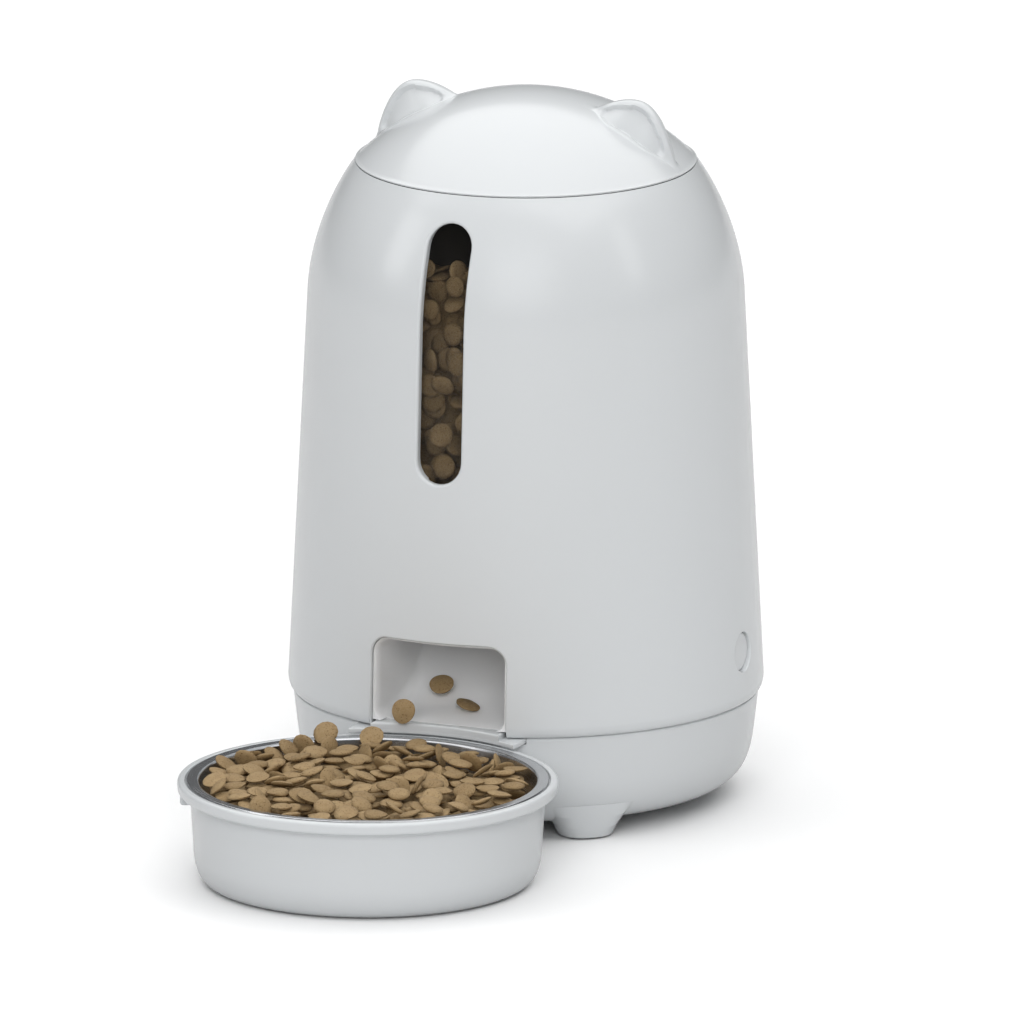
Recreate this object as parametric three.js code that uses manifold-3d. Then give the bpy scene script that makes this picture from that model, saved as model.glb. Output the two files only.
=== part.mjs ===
// Automatic pet feeder: a domed food tank with cat ears that lifts off a round base,
// a driven portion wheel above a chute, and a steel bowl in a holder docked in front.
// Millimetres, +Z up, front faces -Y, origin at the bottom centre of the whole object's box.
import * as THREE from "three";
import { mergeVertices } from "three/addons/utils/BufferGeometryUtils.js";
import Module from "manifold-3d";

const wasm = await Module();
wasm.setup();

// ---------------------------------------------------------------- driving dimensions
const SHELL_R = 100; // widest radius of the upper shell, at its skirt
const WALL = 2.5; // moulded wall of the shell, base and lid
const GAP = 0.4; // shut line between two mouldings
const SEAM_Z = 47; // underside of the upper shell
const NECK_R = 71.8; // radius where the lid meets the shell
const NECK_Z = 272.4;
const DOME_R = 101; // sphere of the lid
const BOWL_Y = -168; // centre of the bowl, from the feeder's axis
const HOLDER_R = 79.5; // rim of the bowl holder
const STEEL_R = 75.6; // flange of the steel bowl
const RIM_Z = 43.8; // top of the bowl
const CHUTE_HALF = 30.5; // half width of the chute's opening in the shell
const CHUTE_TOP = 85.5;
const WINDOW = { half: 9.8, low: 153, high: 261.5 };
const FLOOR_Z = 6; // underside of the base
const DECK_Z = 46.6; // top of the deck that closes the base
const CHAMBER = { r: 76, low: 90, high: 121 }; // portion wheel chamber
const TURRET = { r: 28.4, reach: 50, top: 86 }; // cover of the drive, around the output gear
const PLATE_Z = 70; // underside of the plate that carries the gears
const CELL = { r: 16.9, length: 60, pitch: 36, middle: 14, z: 26 };
const MODULE = 1.5; // gear tooth module
const TEETH = { motor: 12, wheel: 28, pinion: 12, output: 32 };
const RELEASE = { z: 69.5, r: 8.1, face: 97.6 };
const ROUND = 40; // facets of the large turned pieces
const SMALL = 12; // facets of screws, pins and other small round pieces
const AXIS_Y = (HOLDER_R - BOWL_Y - SHELL_R) / 2; // puts the origin under the middle of the box

const COLOURS = {
  white: { color: 0xe9ebec, roughness: 0.25, metalness: 0 },
  liner: { color: 0xdcdedf, roughness: 0.5, metalness: 0 },
  charcoal: { color: 0x33353a, roughness: 0.6, metalness: 0 },
  smoke: { color: 0x4a4744, roughness: 0.1, metalness: 0 },
  rubber: { color: 0x8f9296, roughness: 0.85, metalness: 0 },
  steel: { color: 0xb9bcc0, roughness: 0.25, metalness: 1 },
  zinc: { color: 0x9a9da1, roughness: 0.4, metalness: 1 },
  gear: { color: 0xe6dfc8, roughness: 0.45, metalness: 0 },
  black: { color: 0x26282b, roughness: 0.55, metalness: 0 },
  board: { color: 0x1f6b3f, roughness: 0.5, metalness: 0 },
  cell: { color: 0x2e3a4a, roughness: 0.4, metalness: 0.3 },
  green: { color: 0x9fe0b0, roughness: 0.2, metalness: 0 },
};

// ---------------------------------------------------------------- solids
const X = new THREE.Vector3(1, 0, 0);
const Y = new THREE.Vector3(0, 1, 0);
const Z = new THREE.Vector3(0, 0, 1);
const SIDE_VIEW = new THREE.Matrix4().makeBasis(Y, Z, X); // outline in Y and Z, depth along X
const FRONT_VIEW = new THREE.Matrix4().makeBasis(X, Z, Y.clone().negate()); // depth towards the front

// A closed geometry as a manifold solid that faces outwards.
function solid(geometry) {
  const bare = geometry.clone();
  bare.deleteAttribute("normal");
  bare.deleteAttribute("uv");
  const merged = mergeVertices(bare, 1e-4);
  const index = [...merged.index.array];
  const faces = [];
  for (let i = 0; i < index.length; i += 3) {
    const [a, b, c] = index.slice(i, i + 3);
    if (a !== b && b !== c && c !== a) faces.push(a, b, c);
  }
  const build = (triangles) =>
    new wasm.Manifold(
      new wasm.Mesh({
        numProp: 3,
        vertProperties: new Float32Array(merged.attributes.position.array),
        triVerts: new Uint32Array(triangles),
      }),
    );
  const made = build(faces);
  if (made.volume() > 0) return made;
  return build(faces.reverse());
}

function geometryOf(made) {
  const mesh = made.getMesh();
  const geometry = new THREE.BufferGeometry();
  const points = new Float32Array(mesh.numVert * 3);
  for (let i = 0; i < mesh.numVert; i += 1) {
    points.set(mesh.vertProperties.subarray(i * mesh.numProp, i * mesh.numProp + 3), i * 3);
  }
  geometry.setAttribute("position", new THREE.BufferAttribute(points, 3));
  geometry.setIndex(new THREE.BufferAttribute(new Uint32Array(mesh.triVerts), 1));
  geometry.computeVertexNormals();
  return geometry;
}

const join = (...parts) => parts.reduce((whole, part) => whole.add(part));
const cut = (body, ...tools) => tools.reduce((whole, tool) => whole.subtract(tool), body);

// A turned solid from [radius, height] points, about a vertical axis at x, y.
function turned(profile, facets = ROUND, x = 0, y = 0) {
  const points = profile.map(([r, z]) => new THREE.Vector2(r, z));
  const geometry = new THREE.LatheGeometry(points, facets);
  geometry.rotateX(Math.PI / 2);
  geometry.rotateZ(Math.PI / 2);
  geometry.translate(x, y, 0);
  return solid(geometry);
}

const ring = (inner, outer, low, high, facets = ROUND, x = 0, y = 0) =>
  turned([[inner, low], [outer, low], [outer, high], [inner, high], [inner, low]], facets, x, y);

const rod = (r, low, high, x = 0, y = 0, facets = 16) =>
  turned([[0, low], [r, low], [r, high], [0, high]], facets, x, y);

// A box between two corners.
function block(low, high) {
  const size = high.map((v, i) => v - low[i]);
  const geometry = new THREE.BoxGeometry(...size);
  geometry.translate(...low.map((v, i) => v + size[i] / 2));
  return solid(geometry);
}

function extruded(shape, depth, view = null, curveSegments = 10) {
  const geometry = new THREE.ExtrudeGeometry(shape, { depth, bevelEnabled: false, curveSegments });
  if (view) geometry.applyMatrix4(view);
  return solid(geometry);
}

// A round rod lying along X.
function crossRod(r, from, to, y, z, facets = 16) {
  const geometry = new THREE.CylinderGeometry(r, r, to - from, facets);
  geometry.rotateZ(Math.PI / 2);
  geometry.translate((from + to) / 2, y, z);
  return solid(geometry);
}

// A round rod lying along Y.
function depthRod(r, from, to, x, z, facets = 16) {
  const geometry = new THREE.CylinderGeometry(r, r, to - from, facets);
  geometry.translate(x, (from + to) / 2, z);
  return solid(geometry);
}

// ---------------------------------------------------------------- outlines of the body
const curve = (points, steps) =>
  new THREE.CubicBezierCurve(...points.map(([r, z]) => new THREE.Vector2(r, z)))
    .getPoints(steps)
    .map((p) => [p.x, p.y]);

// The upper shell's outer line from skirt to neck, moved in by an offset.
function shellLine(offset, steps = 5) {
  const shoulder = curve(
    [
      [91.8 - offset, 216 - offset * 0.2],
      [91.2 - offset, 236 - offset * 0.4],
      [82.5 - offset * 0.9, 258 - offset * 0.7],
      [NECK_R - offset * 0.9, NECK_Z - offset * 0.4],
    ],
    steps,
  );
  return [[SHELL_R - offset, 50.8], ...shoulder];
}

// The base's outer line from the middle of its underside to its top edge.
function baseLine(offset, top) {
  const heel = curve(
    [
      [76 - offset * 0.6, FLOOR_Z + offset],
      [88 - offset * 0.8, FLOOR_Z + 1 + offset],
      [93.8 - offset, 13 + offset * 0.6],
      [95.6 - offset, 27],
    ],
    offset > 0 ? 3 : 5,
  );
  return [[0, FLOOR_Z + offset], ...heel, [98 - offset, top], [0, top]];
}

const bowlCylinder = (r, low, high) => rod(r, low, high, 0, BOWL_Y, ROUND);

function obround(half, low, high) {
  const shape = new THREE.Shape();
  shape.moveTo(-half, low + half);
  shape.absarc(0, low + half, half, Math.PI, 2 * Math.PI, false);
  shape.lineTo(half, high - half);
  shape.absarc(0, high - half, half, 0, Math.PI, false);
  return shape;
}

// A prism through the front wall with the window's outline, grown by an amount.
function windowPrism(grow) {
  const { half, low, high } = WINDOW;
  const prism = extruded(obround(half + grow, low - grow, high + grow), 60, FRONT_VIEW, 7);
  return prism.translate([0, -45, 0]);
}

// ---------------------------------------------------------------- base
const FOOT_ANGLES = [-41, 41, 139, -139]; // from the front, towards +X
const FOOT_RADIUS = 80;
const footPlace = (degrees) => {
  const angle = THREE.MathUtils.degToRad(degrees);
  return [FOOT_RADIUS * Math.sin(angle), -FOOT_RADIUS * Math.cos(angle)];
};
const DECK_SCREWS = [[-70, -45], [70, -45], [-70, 45], [70, 45]];
const BOARD_POSTS = [[44, -26], [44, 26], [80, -26], [80, 26]];
const POCKET_R = HOLDER_R + 1.1;
const DOOR = { half: 33.7, front: -41, back: 68 };
const LEDGE = { half: 38, low: 44.5, top: SEAM_Z - GAP, front: -99.5, back: -70 };
const BUTTON = { z: 30, r: 5 }; // feed button in the back of the base
const JACK = { x: -22, z: 28, r: 4.6 };
const LAMP = { x: 15, z: 30, r: 1.8 };

// The four tapered feet, kept inside the base's own outline.
function feet() {
  const foot = [[0, 0.8], [9.8, 0.8], [11.2, 3.4], [20, 15], [0, 15]];
  const footprint = turned([[0, 0], [89.8, 0], [91.4, 15.2], [0, 15.2]]);
  return FOOT_ANGLES.map((degrees) =>
    turned(foot, 16, ...footPlace(degrees)).intersect(footprint),
  );
}

function baseHousing() {
  const pads = FOOT_ANGLES.map((degrees) => rod(8.9, 0, 2.4, ...footPlace(degrees)));
  const outer = join(turned(baseLine(0, DECK_Z)), ...feet());
  const cavity = turned(baseLine(WALL, DECK_Z + 1));
  const shell = cut(outer, bowlCylinder(POCKET_R, -1, SEAM_Z), ...pads);
  const pocketWall = bowlCylinder(POCKET_R + WALL, -1, DECK_Z + 2);
  const hollow = cut(cavity, pocketWall);
  const bosses = DECK_SCREWS.map(([x, y]) => rod(4.5, FLOOR_Z + 1, 43.4, x, y, 10));
  const posts = BOARD_POSTS.map(([x, y]) => rod(2.4, FLOOR_Z + 1, 21.7, x, y, 6));
  const walls = [-1, 1].map((side) => {
    const x = side * (DOOR.half + 0.9);
    return block([x - 0.8, DOOR.front, FLOOR_Z + 1], [x + 0.8, DOOR.back, 40]);
  });
  const inner = cut(hollow, ...bosses, ...posts, ...walls);
  const ledgeRoom = block(
    [-LEDGE.half - GAP, -120, LEDGE.low - GAP],
    [LEDGE.half + GAP, LEDGE.back, SEAM_Z + 1],
  );
  const doorRoom = block(
    [-DOOR.half, DOOR.front, 0],
    [DOOR.half, DOOR.back, FLOOR_Z + WALL + 0.3],
  );
  return cut(
    cut(shell, inner),
    ...DECK_SCREWS.map(([x, y]) => rod(1.9, 30, 44, x, y, 8)),
    ledgeRoom,
    doorRoom,
    depthRod(BUTTON.r + 0.4, 88, 102, 0, BUTTON.z),
    depthRod(JACK.r + 0.4, 84, 102, JACK.x, JACK.z),
    depthRod(LAMP.r + 0.3, 84, 102, LAMP.x, LAMP.z, 12),
  );
}

function baseDeck() {
  const notch = block(
    [-LEDGE.half - GAP, -120, 40],
    [LEDGE.half + GAP, LEDGE.back + GAP, 50],
  );
  return cut(
    rod(94.8, 43.8, DECK_Z, 0, 0, ROUND),
    bowlCylinder(POCKET_R + WALL + 0.4, 30, 60),
    notch,
    ...DECK_SCREWS.map(([x, y]) => rod(1.9, 40, 50, x, y, 8)),
  );
}

// The lip under the chute: a thin shelf with a concave edge that follows the bowl.
function dockLedge() {
  const shelf = block(
    [-LEDGE.half, LEDGE.front, LEDGE.low],
    [LEDGE.half, LEDGE.back, LEDGE.top],
  );
  const tongue = block([-CHUTE_HALF + 1.4, -99, LEDGE.top - 1], [CHUTE_HALF - 1.4, -88.6, 49]);
  return cut(join(tongue, shelf), bowlCylinder(STEEL_R + 0.7, 30, 60));
}

function footPads() {
  return FOOT_ANGLES.map((degrees) => rod(8.6, 0, 2.1, ...footPlace(degrees)));
}

function batteryDoor() {
  const plate = block(
    [-DOOR.half + GAP, DOOR.front + GAP, FLOOR_Z + 0.1],
    [DOOR.half - GAP, DOOR.back - GAP, FLOOR_Z + 2.3],
  );
  return cut(plate, ...doorScrewPlaces().map(([x, y]) => rod(1.9, 0, 12, x, y, 8)));
}

const doorScrewPlaces = () => [[0, DOOR.front + 6], [0, DOOR.back - 6]];

// A pan-head screw from the top of its head to its tip, pointing down or up.
function screw(x, y, head, tip) {
  const under = head > tip ? head - 1.8 : head + 1.8;
  const profile = [[0, head], [3, head], [3, under], [1.4, under], [1.4, tip], [0, tip]];
  return turned(profile, 10, x, y);
}

function batteryCell(row) {
  const y = CELL.middle + (row - 1) * CELL.pitch;
  const body = crossRod(CELL.r, -CELL.length / 2, CELL.length / 2 - 1.5, y, CELL.z);
  const nub = crossRod(4.5, CELL.length / 2 - 2, CELL.length / 2, y, CELL.z, 8);
  return join(body, nub);
}

const contactPlate = (side) =>
  block([side * 32.2 - 0.4, -36, 13], [side * 32.2 + 0.4, 64, 39]);

function circuitBoard() {
  return join(
    block([40, -30, 22], [84, 30, 23.6]),
    block([50, -12, 23], [66, 4, 25.4]),
    block([48, 12, 23], [58, 20, 27]),
    rod(4, 23, 33, 74, 16, 12),
    rod(3, 23, 30, 74, 2, 12),
    block([44, -24, 23], [54, -18, 28]),
  );
}

const rearBoard = () => cut(
  block([-30, 81, 19], [22, 82.6, 41]),
  depthRod(1.5, 80, 84, 8, 23, 8),
);

const feedSwitch = () =>
  join(block([-4, 82.9, 26], [4, 86, 34]), depthRod(2, 85, 87.2, 0, BUTTON.z, 12));

const feedButton = () => join(
  depthRod(BUTTON.r, 89.4, 97.4, 0, BUTTON.z),
  depthRod(BUTTON.r + 1.6, 89.2, 91.2, 0, BUTTON.z),
);

function powerJack() {
  const body = depthRod(JACK.r, 82.9, 94.6, JACK.x, JACK.z);
  const socket = cut(body, depthRod(3, 86, 96, JACK.x, JACK.z, 16));
  return join(socket, depthRod(1, 85, 93, JACK.x, JACK.z, 8));
}

const statusLamp = () => depthRod(LAMP.r, 82.9, 95.2, LAMP.x, LAMP.z, 12);

// ---------------------------------------------------------------- chute
const CHUTE = { back: -33, front: -96, wall: 2.2, top: 86.8, half: 28.6 };

function chuteCurve() {
  return new THREE.CubicBezierCurve(
    new THREE.Vector2(CHUTE.back - 4, CHUTE.top),
    new THREE.Vector2(-42, 60),
    new THREE.Vector2(-56, 50.2),
    new THREE.Vector2(-89, 48.8),
  );
}

function chute() {
  const slide = new THREE.Shape();
  slide.moveTo(CHUTE.back - 4, CHUTE.top);
  chuteCurve().getPoints(9).slice(1).forEach((p) => slide.lineTo(p.x, p.y));
  slide.lineTo(-89, DECK_Z + 0.5);
  slide.lineTo(CHUTE.back, DECK_Z + 0.5);
  slide.lineTo(CHUTE.back, CHUTE.top);
  const width = 2 * (CHUTE.half + CHUTE.wall);
  const ramp = extruded(slide, width, SIDE_VIEW).translate([-width / 2, 0, 0]);
  const cheek = (x) =>
    block([x, CHUTE.front, DECK_Z + 0.5], [x + CHUTE.wall, CHUTE.back, CHUTE.top]);
  const roof = block(
    [-CHUTE.half - 1, CHUTE.front, CHUTE_TOP - 0.9],
    [CHUTE.half + 1, -67, CHUTE.top],
  );
  const whole = join(ramp, cheek(-CHUTE.half - CHUTE.wall), cheek(CHUTE.half), roof);
  const tongueRoom = block([-40, -100, 40], [40, -88.2, 49.4]);
  return cut(whole.intersect(rod(94.6, 40, 90, 0, 0, ROUND)), tongueRoom);
}

// The chute's doorway in the shell: straight sides, round top corners, open at the skirt.
function doorway() {
  const r = 8;
  const shape = new THREE.Shape();
  shape.moveTo(-CHUTE_HALF, 30);
  shape.lineTo(CHUTE_HALF, 30);
  shape.lineTo(CHUTE_HALF, CHUTE_TOP - r);
  shape.absarc(CHUTE_HALF - r, CHUTE_TOP - r, r, 0, Math.PI / 2, false);
  shape.lineTo(-CHUTE_HALF + r, CHUTE_TOP);
  shape.absarc(-CHUTE_HALF + r, CHUTE_TOP - r, r, Math.PI / 2, Math.PI, false);
  return extruded(shape, 60, FRONT_VIEW, 5).translate([0, -60, 0]);
}

// ---------------------------------------------------------------- drive
const pitchRadius = (teeth) => (teeth * MODULE) / 2;
const WHEEL_Y = pitchRadius(TEETH.output) + pitchRadius(TEETH.pinion);
const MOTOR_Y = WHEEL_Y + pitchRadius(TEETH.wheel) + pitchRadius(TEETH.motor);
const LOWER_GEARS = [73, 77];
const UPPER_GEARS = [77.4, 81.8];

// An involute gear with one tooth pointing at the angle `first`.
function gear(teeth, [low, high], first, y = 0) {
  const pressure = THREE.MathUtils.degToRad(20);
  const pitch = pitchRadius(teeth);
  const base = pitch * Math.cos(pressure);
  const backlash = 0.4 / pitch;
  const involute = (angle) => Math.tan(angle) - angle;
  const halfTooth = Math.PI / 2 / teeth - backlash / 2;
  const halfAt = (r) =>
    halfTooth + involute(pressure) - involute(Math.acos(Math.min(1, base / Math.max(r, base))));
  const radii = [pitch - 1.2 * MODULE, pitch - 0.1 * MODULE, pitch + 0.85 * MODULE];
  const points = [];
  for (let tooth = 0; tooth < teeth; tooth += 1) {
    const middle = first + (tooth * 2 * Math.PI) / teeth;
    const side = (s) => radii.map((r) => [r, middle + s * halfAt(r)]);
    points.push(...side(-1), ...side(1).reverse());
  }
  const shape = new THREE.Shape(
    points.map(([r, a]) => new THREE.Vector2(r * Math.cos(a), r * Math.sin(a))),
  );
  return extruded(shape, high - low).translate([0, y, low]);
}

const UP = Math.PI / 2; // angle of the +Y direction
const gapTooth = (teeth) => -UP + Math.PI / teeth; // puts a gap at the -Y direction

function turretOutline(r) {
  const shape = new THREE.Shape();
  shape.absarc(0, 0, r, Math.PI, 2 * Math.PI, false);
  shape.lineTo(r, TURRET.reach);
  shape.absarc(0, TURRET.reach, r, 0, Math.PI, false);
  return shape;
}

function driveHousing() {
  const low = DECK_Z + 0.4;
  const outer = extruded(turretOutline(TURRET.r), TURRET.top - low, null, 10).translate([0, 0, low]);
  const inner = extruded(turretOutline(TURRET.r - 2.2), TURRET.top - 2.4 - low + 1, null, 10);
  return cut(outer, inner.translate([0, 0, low - 1]), rod(8.9, 80, 90));
}

function gearPlate() {
  const outline = turretOutline(TURRET.r - 2.6);
  const plate = extruded(outline, 2, null, 10).translate([0, 0, PLATE_Z]);
  return cut(
    plate,
    rod(4.4, 60, 80),
    rod(2.3, 60, 80, 0, WHEEL_Y),
    rod(5.4, 60, 80, 0, MOTOR_Y),
  );
}

function motor() {
  const can = rod(12, 48, 69.6, 0, MOTOR_Y, 20);
  const boss = rod(5, 69, 71.4, 0, MOTOR_Y);
  return cut(join(can, boss), rod(1.6, 64, 75, 0, MOTOR_Y, 12));
}

const motorShaft = () => rod(1.2, 64.5, 77.6, 0, MOTOR_Y, 12);

function motorPinion() {
  const teeth = gear(TEETH.motor, LOWER_GEARS, gapTooth(TEETH.motor), MOTOR_Y);
  return cut(teeth, rod(1.5, 60, 90, 0, MOTOR_Y, 12));
}

function compoundGear() {
  const wheel = gear(TEETH.wheel, LOWER_GEARS, UP, WHEEL_Y);
  const hub = rod(6.5, 76, 78, 0, WHEEL_Y);
  const pinion = gear(TEETH.pinion, UPPER_GEARS, gapTooth(TEETH.pinion), WHEEL_Y);
  return cut(join(wheel, hub, pinion), rod(2.4, 60, 90, 0, WHEEL_Y, 16));
}

const gearAxle = () => rod(2, 69, 83.2, 0, WHEEL_Y, 16);

const SQUARE = 8; // drive square that enters the portion wheel's hub

function outputGear() {
  return join(
    gear(TEETH.output, UPPER_GEARS, UP),
    rod(6.5, 76, 83.2),
    rod(4, PLATE_Z - 2, 90),
    block([-SQUARE / 2, -SQUARE / 2, 89], [SQUARE / 2, SQUARE / 2, 106]),
  );
}

const shaftBush = () => ring(4.4, 8.6, 83.6, 87, 16);

const positionSwitch = () =>
  join(block([-19, -14, 72.3], [-9, -8, 76.2]), block([-19, -12, 75.8], [-15, -10, 77]));

// ---------------------------------------------------------------- tank
function upperShell() {
  const outside = shellLine(0);
  const inside = shellLine(WALL).reverse();
  const profile = [[98.2, SEAM_Z], ...outside, ...inside, [95.8, SEAM_Z], [98.2, SEAM_Z]];
  return cut(
    turned(profile),
    doorway(),
    windowPrism(0),
    crossRod(RELEASE.r + 0.5, -110, 110, 0, RELEASE.z, 20),
  );
}

// The hopper's outer line; its bottom meets the portion wheel's chamber.
function hopperLine(inset) {
  const shoulder = curve(
    [
      [87.6 - inset, 214],
      [87 - inset, 232 - inset * 0.5],
      [79 - inset * 0.8, 252.5 - inset * 0.7],
      [68.9 - inset, 266.2 - inset * 0.5],
    ],
    4,
  );
  const foot = [CHAMBER.r - inset, CHAMBER.high + GAP];
  return [foot, [90.6 - inset, 150], ...shoulder, [68.9 - inset, 271.6]];
}

function hopper() {
  const outside = hopperLine(0);
  const profile = [...outside, ...hopperLine(2.2).reverse(), outside[0]]; // 2.2 mm wall
  return cut(turned(profile), windowPrism(0.2));
}

// The space between hopper and shell where the window and its gasket lie.
function betweenWalls() {
  const outside = shellLine(WALL + 0.35);
  const inside = hopperLine(-0.35).slice(1, -1);
  const profile = [[40, 100], ...outside, [40, 262], [40, 100]];
  const core = [[30, 100], [inside[0][0], 100], ...inside, [30, 300], [30, 100]];
  return cut(turned(profile), turned(core));
}

const windowLens = () => betweenWalls().intersect(windowPrism(2));

const windowGasket = () => betweenWalls().intersect(cut(windowPrism(4.4), windowPrism(2.3)));

function rotorChamber() {
  const { r, low, high } = CHAMBER;
  const floor = low + 2.5;
  const inner = r - 2.4;
  const bore = 9.6; // hole for the driven hub
  const outlet = block([-24, -66, low - 5], [24, -37, floor + 5]);
  const drum = turned([
    [bore, low],
    [r, low],
    [r, high],
    [inner, high],
    [inner, floor],
    [bore, floor],
    [bore, low],
  ]);
  const collar = cut(block([-26, -68, low - 1.6], [26, -35, low + 1]), outlet);
  return cut(join(drum, collar), outlet);
}

// A shelf above the wheel that keeps food from falling straight to the outlet.
function outletGuard() {
  const half = THREE.MathUtils.degToRad(44);
  const shape = new THREE.Shape();
  shape.absarc(0, 0, 72.6, -UP - half, -UP + half, false);
  shape.absarc(0, 0, 17, -UP + half, -UP - half, true);
  return extruded(shape, 2).translate([0, 0, 118.4]);
}

const VANES = 6;

function portionWheel() {
  const hub = turned([[0, 93.4], [13, 93.4], [13, 114], [9, 117], [0, 117]], 24);
  const vane = block([10, -1.4, 93.4], [71.6, 1.4, 116.6]);
  const vanes = Array.from({ length: VANES }, (_, i) =>
    vane.rotate([0, 0, 30 + (i * 360) / VANES]),
  );
  const half = SQUARE / 2 + 0.3;
  return cut(join(hub, ...vanes), block([-half, -half, 90], [half, half, 107]));
}

function stirrer() {
  const post = turned([[0, 117.4], [8.6, 117.4], [5, 122], [4, 150], [0, 152]], 16);
  const arm = (z, degrees) => crossRod(2.6, -34, 34, 0, z, 10).rotate([0, 0, degrees]);
  return join(post, arm(130, 20), arm(143, 95));
}

// ---------------------------------------------------------------- release buttons
const sideways = (made, side) => (side > 0 ? made : made.rotate([0, 0, 180]));

// A turned solid about X, from [radius, x] points.
function turnedAcross(profile, z, facets = 20) {
  const points = profile.map(([r, x]) => new THREE.Vector2(r, x));
  const geometry = new THREE.LatheGeometry(points, facets);
  geometry.rotateZ(-Math.PI / 2);
  geometry.translate(0, 0, z);
  return solid(geometry);
}

function releaseButton(side) {
  const { r, face, z } = RELEASE;
  const cap = turnedAcross(
    [[0, 92.8], [10.2, 92.8], [10.2, 95], [r, 95], [r, face], [0, face]],
    z,
  );
  const arm = block([90.6, -3, 50.4], [92.9, 3, z + 4]);
  const hook = block([89.4, -3, 50.4], [91, 3, 53]);
  return sideways(join(cap, arm, hook), side);
}

function buttonGuide(side) {
  const cup = turnedAcross(
    [[0, 83.2], [13, 83.2], [13, 94.6], [11, 94.6], [11, 85.4], [0, 85.4]],
    RELEASE.z,
  );
  return sideways(cut(cup, block([86, -4, 50], [96, 4, RELEASE.z - 4])), side);
}

function releaseSpring(side) {
  const coil = [[4, 85.7], [5.4, 85.7], [5.4, 90.3], [4, 90.3], [4, 85.7]];
  return sideways(turnedAcross(coil, RELEASE.z, SMALL), side);
}

// ---------------------------------------------------------------- lid
const DOME_Z = NECK_Z - Math.sqrt(DOME_R ** 2 - NECK_R ** 2); // centre of the dome's sphere

// An arc of the dome from the crown to a radius.
function domeLine(radius, edge, steps) {
  const last = Math.asin(edge / radius);
  return Array.from({ length: steps + 1 }, (_, i) => {
    const angle = (last * i) / steps;
    return [radius * Math.sin(angle), DOME_Z + radius * Math.cos(angle)];
  });
}

// A cat ear seen from the front: rising outer side, round tip, long inner slope.
function earShape(inset) {
  const shape = new THREE.Shape();
  shape.moveTo(68.4 - inset * 1.3, 274);
  shape.bezierCurveTo(66 - inset, 286, 61 - inset, 300.5 - inset, 52, 302.4 - inset);
  shape.bezierCurveTo(
    45, 303.6 - inset, 38 + inset, 301 - inset, 30 + inset * 1.6, 296.5 - inset * 0.6,
  );
  shape.lineTo(30 + inset * 1.6, 274);
  return shape;
}

const EAR_DEPTH = 7;

function ear(side) {
  const half = EAR_DEPTH / 2;
  const body = extruded(earShape(0), EAR_DEPTH, FRONT_VIEW, 6).translate([0, half, 0]);
  const dish = extruded(earShape(3), 3, FRONT_VIEW, 6).translate([0, 1.2 - half, 0]);
  const dome = (grow) => turned([...domeLine(DOME_R + grow, 90, 9), [0, 250]]);
  const whole = cut(body, cut(dish, dome(1.5)), dome(-1));
  return side > 0 ? whole : whole.mirror([1, 0, 0]);
}

function lid() {
  const low = NECK_Z + GAP;
  const outer = domeLine(DOME_R, NECK_R - 0.2, 7);
  const inner = domeLine(DOME_R - WALL, 62.4, 5).reverse();
  const skirt = [[NECK_R, low], [64.6, low], [64.6, 262.4], [62.4, 262.4]];
  return join(turned([...outer, ...skirt, ...inner]), ear(1), ear(-1));
}

const lidSeal = () => ring(64.9, 66.4, 264.4, 270.4);

const lidLiner = () => ring(28.8, 62, 263, 265.2);

// A tub with its open side down and a flange that rests on the liner.
function desiccantTub() {
  const outside = [[0, 275], [28.4, 275], [28.4, 268], [31, 268], [31, 265.6], [28.4, 265.6]];
  const inside = [[28.4, 252.4], [26.4, 252.4], [26.4, 273], [0, 273]];
  return turned([...outside, ...inside], 24);
}

function desiccantCover() {
  const outside = [[0, 249.8], [28.4, 249.8], [28.4, 252], [26, 252]];
  const inside = [[26, 256], [24.4, 256], [24.4, 251.8], [0, 251.8]];
  const plate = turned([...outside, ...inside], 24);
  const slots = [-14, -7, 0, 7, 14].map((x) => block([x - 1.2, -13, 245], [x + 1.2, 13, 255]));
  return cut(plate, ...slots);
}

// ---------------------------------------------------------------- bowl
function bowlHolder() {
  const wall = [[0, 0.5], [65.5, 0.5], [69.8, 3.6], [72.2, 10], [73.8, 33.8]];
  const rim = [[HOLDER_R, 37.4], [HOLDER_R, RIM_Z - 0.8], [HOLDER_R - 0.8, RIM_Z]];
  const inside = [[76.2, RIM_Z], [76.2, 42.2], [72.6, 42.2], [70, 9], [66, 5.4], [0, 5.4]];
  const groove = ring(51.6, 58.4, -1, 2.8, 24, 0, BOWL_Y);
  return cut(turned([...wall, ...rim, ...inside], ROUND, 0, BOWL_Y), groove);
}

const holderGrip = () => ring(52, 58, 0, 2.5, 24, 0, BOWL_Y);

function steelBowl() {
  const under = RIM_Z - 1.2;
  const over = RIM_Z + 0.1;
  const outside = [[0, 9.6], [52, 9.6], [62, 13.4], [67.6, 24], [71.4, under], [STEEL_R, under]];
  const inside = [[STEEL_R, over], [70.6, over], [66.6, 24.4], [61.2, 14.3], [51.8, 10.6], [0, 10.6]];
  return turned([...outside, ...inside], ROUND, 0, BOWL_Y);
}

// ---------------------------------------------------------------- assembly
const feeder = new THREE.Group();
feeder.name = "pet_feeder";
const onAxis = new THREE.Group();
onAxis.position.y = AXIS_Y;
feeder.add(onAxis);

function place(name, colour, made) {
  const mesh = new THREE.Mesh(geometryOf(made), new THREE.MeshStandardMaterial(COLOURS[colour]));
  mesh.name = name;
  onAxis.add(mesh);
}

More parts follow.
